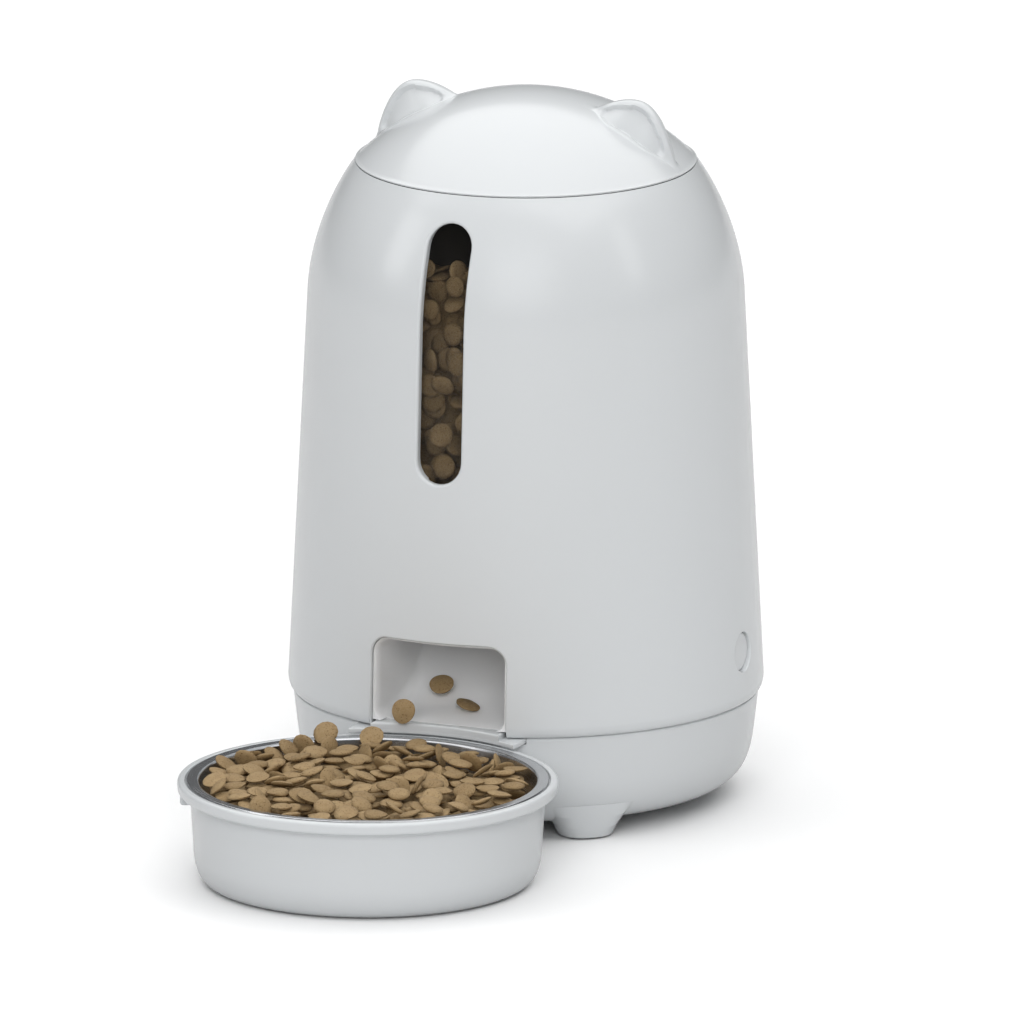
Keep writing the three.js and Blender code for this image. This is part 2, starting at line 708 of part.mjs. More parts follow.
place("base_housing", "white", baseHousing());
place("base_deck", "liner", baseDeck());
place("dock_ledge", "white", dockLedge());
place("chute", "white", chute());
footPads().forEach((pad, i) => place(`foot_pad_${i + 1}`, "rubber", pad));
place("battery_door", "white", batteryDoor());
doorScrewPlaces().forEach(([x, y], i) =>
  place(`door_screw_${i + 1}`, "zinc", screw(x, y, FLOOR_Z - 1.9, FLOOR_Z + 2.6)),
);
DECK_SCREWS.forEach(([x, y], i) =>
  place(`deck_screw_${i + 1}`, "zinc", screw(x, y, DECK_Z + 2.1, 33)),
);
[0, 1, 2].forEach((row) => place(`battery_cell_${row + 1}`, "cell", batteryCell(row)));
place("contact_left", "zinc", contactPlate(-1));
place("contact_right", "zinc", contactPlate(1));
place("circuit_board", "board", circuitBoard());
place("rear_board", "board", rearBoard());
place("feed_switch", "black", feedSwitch());
place("feed_button", "liner", feedButton());
place("power_jack", "black", powerJack());
place("status_lamp", "green", statusLamp());
place("drive_housing", "liner", driveHousing());
place("gear_plate", "zinc", gearPlate());
place("motor", "zinc", motor());
place("motor_shaft", "steel", motorShaft());
place("motor_pinion", "gear", motorPinion());
place("compound_gear", "gear", compoundGear());
place("gear_axle", "steel", gearAxle());
place("output_gear", "gear", outputGear());
place("shaft_bush", "black", shaftBush());
place("position_switch", "black", positionSwitch());
place("upper_shell", "white", upperShell());
place("hopper", "charcoal", hopper());
place("window_lens", "smoke", windowLens());
place("window_gasket", "rubber", windowGasket());
place("rotor_chamber", "liner", rotorChamber());
place("outlet_guard", "liner", outletGuard());
place("portion_wheel", "rubber", portionWheel());
place("stirrer", "rubber", stirrer());
[["left", -1], ["right", 1]].forEach(([name, side]) => {
  place(`release_button_${name}`, "white", releaseButton(side));
  place(`button_guide_${name}`, "liner", buttonGuide(side));
  place(`release_spring_${name}`, "steel", releaseSpring(side));
});
place("lid", "white", lid());
place("lid_seal", "rubber", lidSeal());
place("lid_liner", "liner", lidLiner());
place("desiccant_tub", "liner", desiccantTub());
place("desiccant_cover", "liner", desiccantCover());
place("bowl_holder", "white", bowlHolder());
place("holder_grip", "rubber", holderGrip());
place("steel_bowl", "steel", steelBowl());

export default feeder;
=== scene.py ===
import math

import bmesh
import bpy
import numpy as np
from mathutils import Matrix, Vector


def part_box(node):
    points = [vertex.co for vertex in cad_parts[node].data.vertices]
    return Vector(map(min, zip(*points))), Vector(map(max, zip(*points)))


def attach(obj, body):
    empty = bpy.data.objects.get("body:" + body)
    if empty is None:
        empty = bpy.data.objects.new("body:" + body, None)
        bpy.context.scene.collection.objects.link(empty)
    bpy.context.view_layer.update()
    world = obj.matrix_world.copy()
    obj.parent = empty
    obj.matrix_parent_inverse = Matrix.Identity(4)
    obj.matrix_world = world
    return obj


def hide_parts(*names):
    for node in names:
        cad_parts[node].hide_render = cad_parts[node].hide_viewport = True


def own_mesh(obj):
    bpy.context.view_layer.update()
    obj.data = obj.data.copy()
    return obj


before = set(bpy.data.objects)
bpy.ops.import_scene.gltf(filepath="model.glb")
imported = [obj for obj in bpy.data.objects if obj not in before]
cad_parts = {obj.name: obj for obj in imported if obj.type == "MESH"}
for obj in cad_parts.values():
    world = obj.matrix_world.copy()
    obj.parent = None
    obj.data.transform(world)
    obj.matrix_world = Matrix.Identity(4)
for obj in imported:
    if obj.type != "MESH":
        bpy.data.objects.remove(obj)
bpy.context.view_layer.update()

# ------------------------------------------------------------------ sizes taken from the frame
# Pieces are shaped in millimetres about the middle of the shell's box, front towards -Y, and are
# scaled and moved into the frame as they are finished. The doorway shortens that box, so its
# middle, and the pieces placed by it, stand 0.86 mm behind the feeder's own axis.
MM = 0.001
shell_low, shell_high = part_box("upper_shell")
holder_low, holder_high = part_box("bowl_holder")
AXIS_Y = (shell_low.y + shell_high.y) / 2 / MM
BOWL_Y = (holder_low.y + holder_high.y) / 2 / MM - AXIS_Y
IN_FRAME = Matrix.Scale(MM, 4) @ Matrix.Translation((0, AXIS_Y, 0))

SHELL_R = 100.0
SHOULDER_R, SHOULDER_Z = 91.8, 216
WALL = 2.5
NECK_R, NECK_Z = 71.8, 272.4
DOME_R = 101.0
DOME_Z = NECK_Z - math.sqrt(DOME_R ** 2 - NECK_R ** 2)
SEAM_Z = 47.0
SKIRT_Z = 51.6
DECK_Z = 46.6
FLOOR_Z = 6.0
HOLDER_R = 79.5
STEEL_R = 75.6
RIM_Z = 43.8
POCKET_R = HOLDER_R + 1.1
DOOR_HALF, DOOR_TOP, DOOR_CORNER = 30.5, 85.5, 8.0
WINDOW_HALF, WINDOW_LOW, WINDOW_HIGH = 9.8, 153.0, 261.5
BUTTON_Z, BUTTON_R = 69.5, 8.1
FOOT_ANGLES = (-41, 41, 139, -139)
FOOT_RADIUS = 80.0
LEDGE_HALF = 38.0
CHUTE_HALF, CHUTE_TOP, CHUTE_FLOOR = 28.6, 83.9, 48.8
MOUTH_HALF, MOUTH_TOP = 28.5, 83.8
COLLAR = 1.25
STRIP_TURN = 12
BATTERY_SCREWS = ((0, -35), (0, 62))
REAR_Z = 30
FOOD_SLOPE = 0.3
ROUND = 192
KIBBLE_R, KIBBLE_H = 5.7, 1.25


# ------------------------------------------------------------------ node helpers
class Nodes:
    """Short calls for building one material's or one group's nodes."""

    def __init__(self, tree):
        self.tree = tree
        tree.nodes.clear()

    def add(self, kind, values=None, **settings):
        node = self.tree.nodes.new(kind)
        for key, value in settings.items():
            setattr(node, key, value)
        for key, value in (values or {}).items():
            self.feed(node.inputs[key], value)
        return node

    def feed(self, socket, value):
        if isinstance(value, bpy.types.NodeSocket):
            self.tree.links.new(value, socket)
        else:
            socket.default_value = value

    def math(self, operation, a, b=0.0, clamp=False):
        node = self.add("ShaderNodeMath", operation=operation, use_clamp=clamp)
        self.feed(node.inputs[0], a)
        self.feed(node.inputs[1], b)
        return node.outputs[0]

    def span(self, value, low, high, to_low=0.0, to_high=1.0):
        node = self.add("ShaderNodeMapRange", interpolation_type="SMOOTHSTEP")
        for key, given in zip((0, 1, 2, 3, 4), (value, low, high, to_low, to_high)):
            self.feed(node.inputs[key], given)
        return node.outputs[0]

    def mix(self, share, a, b):
        node = self.add("ShaderNodeMix", data_type="RGBA")
        self.feed(node.inputs[0], share)
        self.feed(node.inputs[6], a)
        self.feed(node.inputs[7], b)
        return node.outputs[2]

    def noise(self, vector, scale, detail=3.0, roughness=0.55):
        values = {"Vector": vector, "Scale": scale, "Detail": detail, "Roughness": roughness}
        return self.add("ShaderNodeTexNoise", values).outputs[0]

    def place(self, stretch=(1, 1, 1), shift=(0, 0, 0)):
        where = self.add("ShaderNodeTexCoord").outputs["Object"]
        values = {"Vector": where, "Scale": stretch, "Location": shift}
        return self.add("ShaderNodeMapping", values).outputs[0]


def rgb(r, g, b):
    return (r, g, b, 1.0)


def effect(name, inputs, outputs, build):
    """A shader node group with named inputs and outputs."""
    tree = bpy.data.node_groups.new(name, "ShaderNodeTree")
    for label, kind, value in inputs:
        made = tree.interface.new_socket(label, in_out="INPUT", socket_type=kind)
        if value is not None:
            made.default_value = value
    for label, kind in outputs:
        tree.interface.new_socket(label, in_out="OUTPUT", socket_type=kind)
    n = Nodes(tree)
    start = n.add("NodeGroupInput")
    end = n.add("NodeGroupOutput")
    for label, socket in build(n, start.outputs).items():
        n.feed(end.inputs[label], socket)
    return tree


def build_moulded_skin(n, given):
    """Slow waves of a moulded wall and the fine texture of the tool."""
    fine = n.noise(given["Vector"], given["Grain Scale"], 2.0)
    wave = n.noise(given["Vector"], 22.0, 2.0)
    height = n.math(
        "ADD",
        n.math("MULTIPLY", fine, given["Grain"]),
        n.math("MULTIPLY", wave, given["Wave"]),
    )
    smear = n.noise(given["Vector"], 9.0, 5.0, 0.65)
    return {"Height": height, "Smear": n.span(smear, 0.3, 0.8)}


def build_edge_wear(n, given):
    """A broken mask along corners and rims, where hands and cloths rub."""
    pointed = n.add("ShaderNodeNewGeometry").outputs["Pointiness"]
    edge = n.span(pointed, 0.54, 0.62)
    spots = n.noise(given["Vector"], given["Spot Scale"], 4.0, 0.7)
    worn = n.math("MULTIPLY", edge, n.span(spots, 0.38, 0.62))
    return {"Mask": n.math("MULTIPLY", worn, given["Amount"], clamp=True)}


def build_dust(n, given):
    """Pale specks on faces that look up."""
    normal = n.add("ShaderNodeNewGeometry").outputs["Normal"]
    up = n.add("ShaderNodeSeparateXYZ", {"Vector": normal}).outputs["Z"]
    specks = n.span(n.noise(given["Vector"], 620.0, 3.0, 0.7), 0.6, 0.74)
    film = n.span(n.noise(given["Vector"], 35.0, 4.0), 0.4, 0.8)
    both = n.math("ADD", n.math("MULTIPLY", specks, 0.7), n.math("MULTIPLY", film, 0.3))
    flat = n.math("MULTIPLY", both, n.span(up, 0.2, 0.9))
    return {"Mask": n.math("MULTIPLY", flat, given["Amount"], clamp=True)}


def build_turned_lines(n, given):
    """Fine rings left by spinning and polishing, about a vertical axis."""
    parts = n.add("ShaderNodeSeparateXYZ", {"Vector": given["Vector"]}).outputs
    squares = n.math("ADD", n.math("POWER", parts["X"], 2.0), n.math("POWER", parts["Y"], 2.0))
    radius = n.math("SQRT", squares)
    rings = n.add("ShaderNodeCombineXYZ", {"X": radius, "Y": parts["Z"]}).outputs[0]
    fine = n.noise(rings, given["Line Scale"], 4.0, 0.75)
    coarse = n.noise(rings, n.math("MULTIPLY", given["Line Scale"], 0.12), 2.0)
    lines = n.math("ADD", n.math("MULTIPLY", fine, 0.7), n.math("MULTIPLY", coarse, 0.3))
    return {"Lines": lines}


VECTOR_IN = ("Vector", "NodeSocketVector", None)
MOULDED_SKIN = effect(
    "moulded_skin",
    [
        VECTOR_IN,
        ("Grain Scale", "NodeSocketFloat", 1400.0),
        ("Grain", "NodeSocketFloat", 0.02),
        ("Wave", "NodeSocketFloat", 0.3),
    ],
    [("Height", "NodeSocketFloat"), ("Smear", "NodeSocketFloat")],
    build_moulded_skin,
)
EDGE_WEAR = effect(
    "edge_wear",
    [
        VECTOR_IN,
        ("Spot Scale", "NodeSocketFloat", 160.0),
        ("Amount", "NodeSocketFloat", 0.5),
    ],
    [("Mask", "NodeSocketFloat")],
    build_edge_wear,
)
DUST = effect(
    "dust",
    [VECTOR_IN, ("Amount", "NodeSocketFloat", 0.3)],
    [("Mask", "NodeSocketFloat")],
    build_dust,
)
TURNED_LINES = effect(
    "turned_lines",
    [VECTOR_IN, ("Line Scale", "NodeSocketFloat", 4200.0)],
    [("Lines", "NodeSocketFloat")],
    build_turned_lines,
)


def new_material(name, **constants):
    """A material with one Principled shader, its constant values on the shader's sockets."""
    material = bpy.data.materials.new(name)
    material.use_nodes = True
    n = Nodes(material.node_tree)
    surface = n.add("ShaderNodeBsdfPrincipled")
    out = n.add("ShaderNodeOutputMaterial")
    n.feed(out.inputs["Surface"], surface.outputs[0])
    for label, value in constants.items():
        surface.inputs[label.replace("_", " ")].default_value = value
    return material, n, surface.inputs


def use(n, group, **values):
    node = n.add("ShaderNodeGroup", node_tree=group)
    for label, value in values.items():
        n.feed(node.inputs[label.replace("_", " ")], value)
    return node.outputs


def bump(n, height, distance, strength=1.0):
    values = {"Height": height, "Distance": distance, "Strength": strength}
    return n.add("ShaderNodeBump", values).outputs[0]


def plastic(name, base, rough, rough_worn, worn=None, grain=0.02, wave=0.3, wear=0.0, dust=0.0,
            **constants):
    """Moulded plastic: slow waves, a fine tool texture, rubbed edges and a little dust."""
    material, n, socket = new_material(name, **constants)
    where = n.place()
    skin = use(n, MOULDED_SKIN, Vector=where, Grain=grain, Wave=wave)
    tint = n.mix(n.math("MULTIPLY", skin["Smear"], 0.5), rgb(*base), rgb(*[c * 0.985 for c in base]))
    gloss = n.math("ADD", n.math("MULTIPLY", skin["Smear"], rough_worn - rough), rough)
    if wear:
        mask = use(n, EDGE_WEAR, Vector=where, Amount=wear)["Mask"]
        tint = n.mix(mask, tint, rgb(*worn))
        gloss = n.math("ADD", gloss, n.math("MULTIPLY", mask, 0.15))
    if dust:
        dusty = use(n, DUST, Vector=where, Amount=dust)["Mask"]
        tint = n.mix(dusty, tint, rgb(0.62, 0.6, 0.56))
        gloss = n.math("ADD", gloss, n.math("MULTIPLY", dusty, 0.3))
    n.feed(socket["Base Color"], tint)
    n.feed(socket["Roughness"], gloss)
    n.feed(socket["Normal"], bump(n, skin["Height"], 0.0006))
    return material


def turned_steel(name, centre, base, rough, lines=0.25, scale=4200.0):
    """Spun sheet steel: fine rings about its own centre and a faint smear of handling."""
    material, n, socket = new_material(name)
    where = n.place(shift=(-centre[0], -centre[1], 0))
    rings = use(n, TURNED_LINES, Vector=where, Line_Scale=scale)["Lines"]
    smear = n.span(n.noise(where, 18.0, 5.0, 0.65), 0.4, 0.7)
    dark = rgb(*[c * 0.82 for c in base])
    n.feed(socket["Base Color"], n.mix(n.span(rings, 0.3, 0.7), dark, rgb(*base)))
    gloss = n.math("ADD", n.math("MULTIPLY", rings, 0.22), rough - 0.08)
    n.feed(socket["Roughness"], n.math("ADD", gloss, n.math("MULTIPLY", smear, 0.06)))
    n.feed(socket["Metallic"], n.span(smear, 0.0, 1.0, 1.0, 0.97))
    n.feed(socket["Normal"], bump(n, rings, 0.00008, lines))
    return material


def plated_metal(name, base, rough, scale):
    """Plated or drawn metal: crossed fine scratches and darker, duller spots."""
    material, n, socket = new_material(name)
    along = n.noise(n.place((1, 18, 18)), scale, 3.0, 0.7)
    across = n.noise(n.place((18, 18, 1)), scale, 3.0, 0.7)
    spots = n.span(n.noise(n.place(), 140.0, 4.0), 0.45, 0.7)
    both = n.math("ADD", n.math("MULTIPLY", along, 0.5), n.math("MULTIPLY", across, 0.5))
    dull = rgb(*[c * 0.75 for c in base])
    n.feed(socket["Base Color"], n.mix(n.math("MULTIPLY", spots, 0.6), rgb(*base), dull))
    n.feed(socket["Roughness"], n.math("ADD", n.math("MULTIPLY", both, 0.25), rough - 0.1))
    n.feed(socket["Metallic"], n.span(spots, 0.0, 1.0, 1.0, 0.9))
    n.feed(socket["Normal"], bump(n, both, 0.00006, 0.5))
    return material


def rubber(name, base, rough=0.82):
    """Moulded rubber: matt, pebbled, with a pale bloom on its corners."""
    material, n, socket = new_material(name, Specular_IOR_Level=0.35)
    where = n.place()
    grain = n.noise(where, 900.0, 4.0, 0.7)
    bloom = use(n, EDGE_WEAR, Vector=where, Spot_Scale=260.0, Amount=0.6)["Mask"]
    tone = n.mix(n.span(grain, 0.3, 0.7), rgb(*[c * 0.88 for c in base]), rgb(*base))
    n.feed(socket["Base Color"], n.mix(bloom, tone, rgb(*[min(1, c * 1.5) for c in base])))
    n.feed(socket["Roughness"], n.math("ADD", n.math("MULTIPLY", grain, 0.18), rough - 0.1))
    n.feed(socket["Normal"], bump(n, grain, 0.0002, 0.6))
    return material


def smoked_lens():
    """Clear window plastic with a light smoke tint, finger smears and hairline scratches."""
    material, n, socket = new_material("smoked_lens", IOR=1.5, Specular_IOR_Level=0.3)
    where = n.place()
    smear = n.span(n.noise(where, 60.0, 5.0, 0.7), 0.45, 0.75)
    hair = n.span(n.noise(n.place((60, 60, 1)), 40.0, 2.0, 0.8), 0.7, 0.8)
    n.feed(socket["Base Color"], n.mix(smear, rgb(0.022, 0.02, 0.018), rgb(0.04, 0.037, 0.033)))
    n.feed(socket["Alpha"], n.math("ADD", n.math("MULTIPLY", smear, 0.03), 0.2))
    rough = n.math("ADD", n.math("MULTIPLY", smear, 0.08), 0.06)
    n.feed(socket["Roughness"], n.math("ADD", rough, n.math("MULTIPLY", hair, 0.1)))
    n.feed(socket["Normal"], bump(n, hair, 0.00003, 0.3))
    material.surface_render_method = "DITHERED"
    return material


def baked_food():
    """Dry baked kibble: each piece its own tone, browned in patches, pitted and dusty, with painted shade
    darkening the pits.
    """
    material, n, socket = new_material("baked_food", Specular_IOR_Level=0.3)
    where = n.place()
    tone = n.add("ShaderNodeAttribute", attribute_name="tone").outputs["Fac"]
    patch = n.span(n.noise(where, 190.0, 4.0, 0.65), 0.35, 0.7)
    crumb = n.noise(where, 1500.0, 4.0, 0.75)
    pits = n.add("ShaderNodeTexVoronoi", {"Vector": where, "Scale": 900.0}).outputs["Distance"]
    pit = n.span(pits, 0.05, 0.32)
    piece = n.mix(tone, rgb(0.235, 0.155, 0.07), rgb(0.38, 0.262, 0.132))
    browned = n.mix(n.math("MULTIPLY", patch, 0.45), piece, rgb(0.205, 0.122, 0.05))
    speckled = n.mix(n.span(crumb, 0.3, 0.75), browned, n.mix(0.5, browned, rgb(0.46, 0.345, 0.2)))
    # The pits' dark brown is painted shade in the hollows that the bump presses in.
    n.feed(socket["Base Color"], n.mix(pit, rgb(0.14, 0.085, 0.035), speckled))
    n.feed(socket["Roughness"], n.math("ADD", n.math("MULTIPLY", crumb, 0.25), 0.62))
    relief = n.math("ADD", n.math("MULTIPLY", crumb, 0.6), n.math("MULTIPLY", pit, 0.6))
    n.feed(socket["Normal"], bump(n, relief, 0.0004, 0.8))
    return material


def circuit_board():
    """Solder mask over faint copper tracks."""
    material, n, socket = new_material("circuit_board", Coat_Weight=0.3, Coat_Roughness=0.15)
    where = n.place()
    cells = n.add(
        "ShaderNodeTexBrick",
        {"Vector": where, "Scale": 160.0, "Mortar Size": 0.06, "Mortar Smooth": 0.1},
    ).outputs["Fac"]
    mottled = n.span(n.noise(where, 90.0, 2.0), 0.4, 0.6)
    track = n.math("MULTIPLY", cells, mottled)
    n.feed(socket["Base Color"], n.mix(track, rgb(0.012, 0.13, 0.05), rgb(0.03, 0.24, 0.11)))
    n.feed(socket["Roughness"], n.span(mottled, 0.0, 1.0, 0.3, 0.42))
    n.feed(socket["Normal"], bump(n, track, 0.00006, 0.6))
    return material


def cell_jacket():
    """Printed film on a cell: dark body, a copper-coloured end and no lettering."""
    material, n, socket = new_material("cell_jacket", Coat_Weight=0.5, Coat_Roughness=0.12)
    where = n.place()
    along = n.add("ShaderNodeSeparateXYZ", {"Vector": where}).outputs["X"]
    band = n.span(along, 0.0150, 0.0156)
    film = n.span(n.noise(n.place((1, 30, 30)), 60.0, 3.0), 0.35, 0.7)
    jacket = n.mix(n.math("MULTIPLY", film, 0.4), rgb(0.018, 0.024, 0.04), rgb(0.04, 0.05, 0.075))
    n.feed(socket["Base Color"], n.mix(band, jacket, rgb(0.6, 0.32, 0.14)))
    n.feed(socket["Metallic"], n.math("MULTIPLY", band, 0.8))
    n.feed(socket["Roughness"], n.span(film, 0.0, 1.0, 0.28, 0.4))
    return material


def lamp_lens():
    """A diffusing green lamp lens with a moulded ripple."""
    material, n, socket = new_material("lamp_lens", Transmission_Weight=0.35, IOR=1.49)
    ripple = n.noise(n.place(), 700.0, 2.0)
    n.feed(socket["Base Color"], n.mix(ripple, rgb(0.2, 0.75, 0.34), rgb(0.42, 0.9, 0.5)))
    n.feed(socket["Roughness"], n.span(ripple, 0.3, 0.7, 0.18, 0.3))
    n.feed(socket["Emission Color"], n.mix(ripple, rgb(0.05, 0.3, 0.1), rgb(0.1, 0.5, 0.2)))
    n.feed(socket["Normal"], bump(n, ripple, 0.0001, 0.5))
    socket["Emission Strength"].default_value = 0.4
    return material


def floor_finish():
    """A plain pale studio floor with the faintest unevenness."""
    material, n, socket = new_material("studio_floor", Specular_IOR_Level=0.2)
    slow = n.noise(n.place(), 1.5, 2.0)
    seen = n.add("ShaderNodeLightPath").outputs["Is Camera Ray"]
    pale = n.mix(slow, rgb(0.975, 0.975, 0.975), rgb(0.985, 0.985, 0.985))
    n.feed(socket["Base Color"], n.mix(seen, rgb(0.7, 0.7, 0.7), pale))
    n.feed(socket["Roughness"], n.span(slow, 0.3, 0.7, 0.55, 0.62))
    away = n.add("ShaderNodeVectorMath", {"Vector": n.place()}, operation="LENGTH").outputs["Value"]
    far = n.math("MULTIPLY", seen, n.span(away, 1.4, 3.0))
    n.feed(socket["Emission Color"], n.mix(far, rgb(0, 0, 0), rgb(1, 1, 1)))
    socket["Emission Strength"].default_value = 1.0
    return material


BOWL_CENTRE = (0.0, (BOWL_Y + AXIS_Y) * MM)
FINISH = {
    "shell_white": plastic(
        "shell_white", (0.64, 0.66, 0.672), 0.26, 0.27, grain=0.01, wave=0.08,
        Coat_Weight=0.45, Coat_Roughness=0.16,
    ),
    # The chute is the shell's own plastic, given a much paler copy of its white as painted light in its
    # shaded passage; the dust is real.
    "chute_white_painted_light": plastic(
        "chute_white_painted_light", (0.88, 0.885, 0.89), 0.32, 0.4, grain=0.03, wave=0.1, dust=0.02,
    ),
    "liner_white": plastic(
        "liner_white", (0.72, 0.73, 0.74), 0.42, 0.55, worn=(0.8, 0.8, 0.8),
        grain=0.12, wave=0.3, wear=0.25, dust=0.06,
    ),
    # The hopper is coloured near black as painted shade for the dark inside of the closed tank above the
    # food; its rubbed edges and dust are real wear.
    "hopper_charcoal": plastic(
        "hopper_charcoal", (0.03, 0.031, 0.034), 0.45, 0.6, worn=(0.07, 0.07, 0.075),
        grain=0.12, wave=0.25, wear=0.3, dust=0.1,
    ),
    "gear_acetal": plastic(
        "gear_acetal", (0.74, 0.69, 0.56), 0.36, 0.5, worn=(0.84, 0.8, 0.7),
        grain=0.08, wave=0.2, wear=0.5, dust=0.05, Subsurface_Weight=0.1, Subsurface_Scale=0.002,
    ),
    "black_plastic": plastic(
        "black_plastic", (0.022, 0.023, 0.025), 0.4, 0.56, worn=(0.08, 0.08, 0.085),
        grain=0.15, wave=0.2, wear=0.5, dust=0.1,
    ),
    "grey_rubber": rubber("grey_rubber", (0.2, 0.205, 0.215)),
    "bright_steel": turned_steel("bowl_steel", BOWL_CENTRE, (0.66, 0.67, 0.69), 0.2),
    "shaft_steel": plated_metal("shaft_steel", (0.6, 0.61, 0.63), 0.28, 60.0),
    "zinc_plate": plated_metal("zinc_plate", (0.58, 0.6, 0.62), 0.36, 45.0),
    "window_smoke": smoked_lens(),
    "kibble_brown": baked_food(),
    "circuit_green": circuit_board(),
    "cell_jacket": cell_jacket(),
    "lamp_green": lamp_lens(),
}


# ------------------------------------------------------------------ shape helpers
def bezier(points, steps):
    """Points along a cubic curve between its first and last handle."""
    p = [Vector(v) for v in points]
    line = []
    for i in range(steps + 1):
        t = i / steps
        s = 1 - t
        at = p[0] * s ** 3 + p[1] * 3 * s * s * t + p[2] * 3 * s * t * t + p[3] * t ** 3
        line.append(tuple(at))
    return line


def rounded(points, closed=True, steps=5):
    """Corner points (a, b, radius) as a line with each corner turned into an arc."""
    line = []
    count = len(points)
    for i, corner in enumerate(points):
        here = Vector(corner[:2])
        radius = corner[2] if len(corner) > 2 else 0
        if radius == 0 or (not closed and i in (0, count - 1)):
            line.append(tuple(here))
            continue
        before = Vector(points[i - 1][:2]) - here
        after = Vector(points[(i + 1) % count][:2]) - here
        half = before.angle(after) / 2
        reach = min(radius / math.tan(half), before.length * 0.49, after.length * 0.49)
        radius = reach * math.tan(half)
        before.normalize()
        after.normalize()
        middle = here + (before + after).normalized() * (radius / math.sin(half))
        first = here + before * reach - middle
        last = here + after * reach - middle
        for k in range(steps + 1):
            way = first.lerp(last, k / steps)
            line.append(tuple(middle + way.normalized() * radius))
    return line


def spun(line, steps=ROUND, centre=(0, 0), axis=(0, 0, 1), along=None):
    """A closed skin turned about a vertical axis from (radius, height) points.

    With along given, the points are (radius, distance along that axis) instead."""
    bm = bmesh.new()
    if along is None:
        places = [Vector((centre[0] + r, centre[1], z)) for r, z in line]
        pivot, axis = Vector((centre[0], centre[1], 0)), Vector(axis)
    else:
        pivot, axis = Vector(along[0]), Vector(along[1]).normalized()
        side = axis.orthogonal().normalized()
        places = [pivot + side * r + axis * d for r, d in line]
    verts = [bm.verts.new(p) for p in places]
    pairs = list(zip(verts, verts[1:]))
    if line[0][0] > 1e-6:
        pairs.append((verts[-1], verts[0]))
    edges = [bm.edges.new(pair) for pair in pairs]
    bmesh.ops.spin(
        bm, geom=verts + edges, cent=pivot, axis=axis, dvec=(0, 0, 0),
        angle=2 * math.pi, steps=steps, use_merge=True, use_duplicate=False,
    )
    bmesh.ops.remove_doubles(bm, verts=bm.verts[:], dist=1e-4)
    bmesh.ops.recalc_face_normals(bm, faces=bm.faces[:])
    return bm


def lofted(rings, capped=True):
    """A closed skin through rings of points, with flat ends."""
    bm = bmesh.new()
    loops = []
    for ring in rings:
        verts = [bm.verts.new(p) for p in ring]
        loops.append([bm.edges.new((a, b)) for a, b in zip(verts, verts[1:] + verts[:1])])
    for one, two in zip(loops, loops[1:]):
        bmesh.ops.bridge_loops(bm, edges=one + two)
    if capped:
        bmesh.ops.contextual_create(bm, geom=loops[0])
        bmesh.ops.contextual_create(bm, geom=loops[-1])
    bmesh.ops.recalc_face_normals(bm, faces=bm.faces[:])
    return bm


def slab(outline, low, high, edge=0.0, segments=3):
    """A flat outline of (x, y) points raised between two heights, its rims rounded."""
    bm = lofted([[(x, y, low) for x, y in outline], [(x, y, high) for x, y in outline]])
    if edge:
        rims = [
            e for e in bm.edges
            if abs(e.verts[0].co.z - e.verts[1].co.z) < 1e-6 and e.calc_face_angle(0) > 1.2
        ]
        soften(bm, rims, edge, segments)
    return bm


def soften(bm, edges, size, segments=3):
    bmesh.ops.bevel(
        bm, geom=edges, offset=size, offset_type="OFFSET", affect="EDGES",
        segments=segments, profile=0.5, material=-1, clamp_overlap=True,
    )


def cuboid(low, high, edge=0.0, segments=3):
    """A block between two corners with rounded edges."""
    bm = bmesh.new()
    bmesh.ops.create_cube(bm, size=1.0)
    size = [b - a for a, b in zip(low, high)]
    middle = [(a + b) / 2 for a, b in zip(low, high)]
    bmesh.ops.scale(bm, vec=size, verts=bm.verts[:])
    bmesh.ops.translate(bm, vec=middle, verts=bm.verts[:])
    if edge:
        soften(bm, bm.edges[:], edge, segments)
    return bm


def turn(bm, degrees, axis="Z"):
    spin = Matrix.Rotation(math.radians(degrees), 4, axis)
    bmesh.ops.transform(bm, matrix=spin, verts=bm.verts[:])
    return bm


def shift(bm, way):
    bmesh.ops.translate(bm, vec=way, verts=bm.verts[:])
    return bm


def mirrored(bm):
    """The same solid on the other side of the feeder, still facing outwards."""
    bmesh.ops.scale(bm, vec=(-1, 1, 1), verts=bm.verts[:])
    bmesh.ops.reverse_faces(bm, faces=bm.faces[:])
    return bm


def together(*parts):
    """Several closed skins in one mesh."""
    whole = bmesh.new()
    for part in parts:
        held = bpy.data.meshes.new("held")
        part.to_mesh(held)
        part.free()
        whole.from_mesh(held)
        bpy.data.meshes.remove(held)
    return whole


def helper_object(bm):
    mesh = bpy.data.meshes.new("helper")
    bm.to_mesh(mesh)
    bm.free()
    obj = bpy.data.objects.new("helper", mesh)
    bpy.context.scene.collection.objects.link(obj)
    return obj


def combined(body, tools, operation="DIFFERENCE"):
    """body cut by, joined to or kept inside each tool in turn."""
    base = helper_object(body)
    others = [helper_object(t) for t in tools]
    for other in others:
        step = base.modifiers.new("step", "BOOLEAN")
        step.operation = operation
        step.object = other
        step.solver = "EXACT"
    bpy.context.view_layer.update()
    graph = bpy.context.evaluated_depsgraph_get()
    made = bpy.data.meshes.new_from_object(base.evaluated_get(graph))
    result = bmesh.new()
    result.from_mesh(made)
    for obj in [base, *others]:
        bpy.data.objects.remove(obj)
    bpy.data.meshes.remove(made)
    bmesh.ops.remove_doubles(result, verts=result.verts[:], dist=2e-3)
    bmesh.ops.dissolve_degenerate(result, edges=result.edges[:], dist=4e-3)
    return result


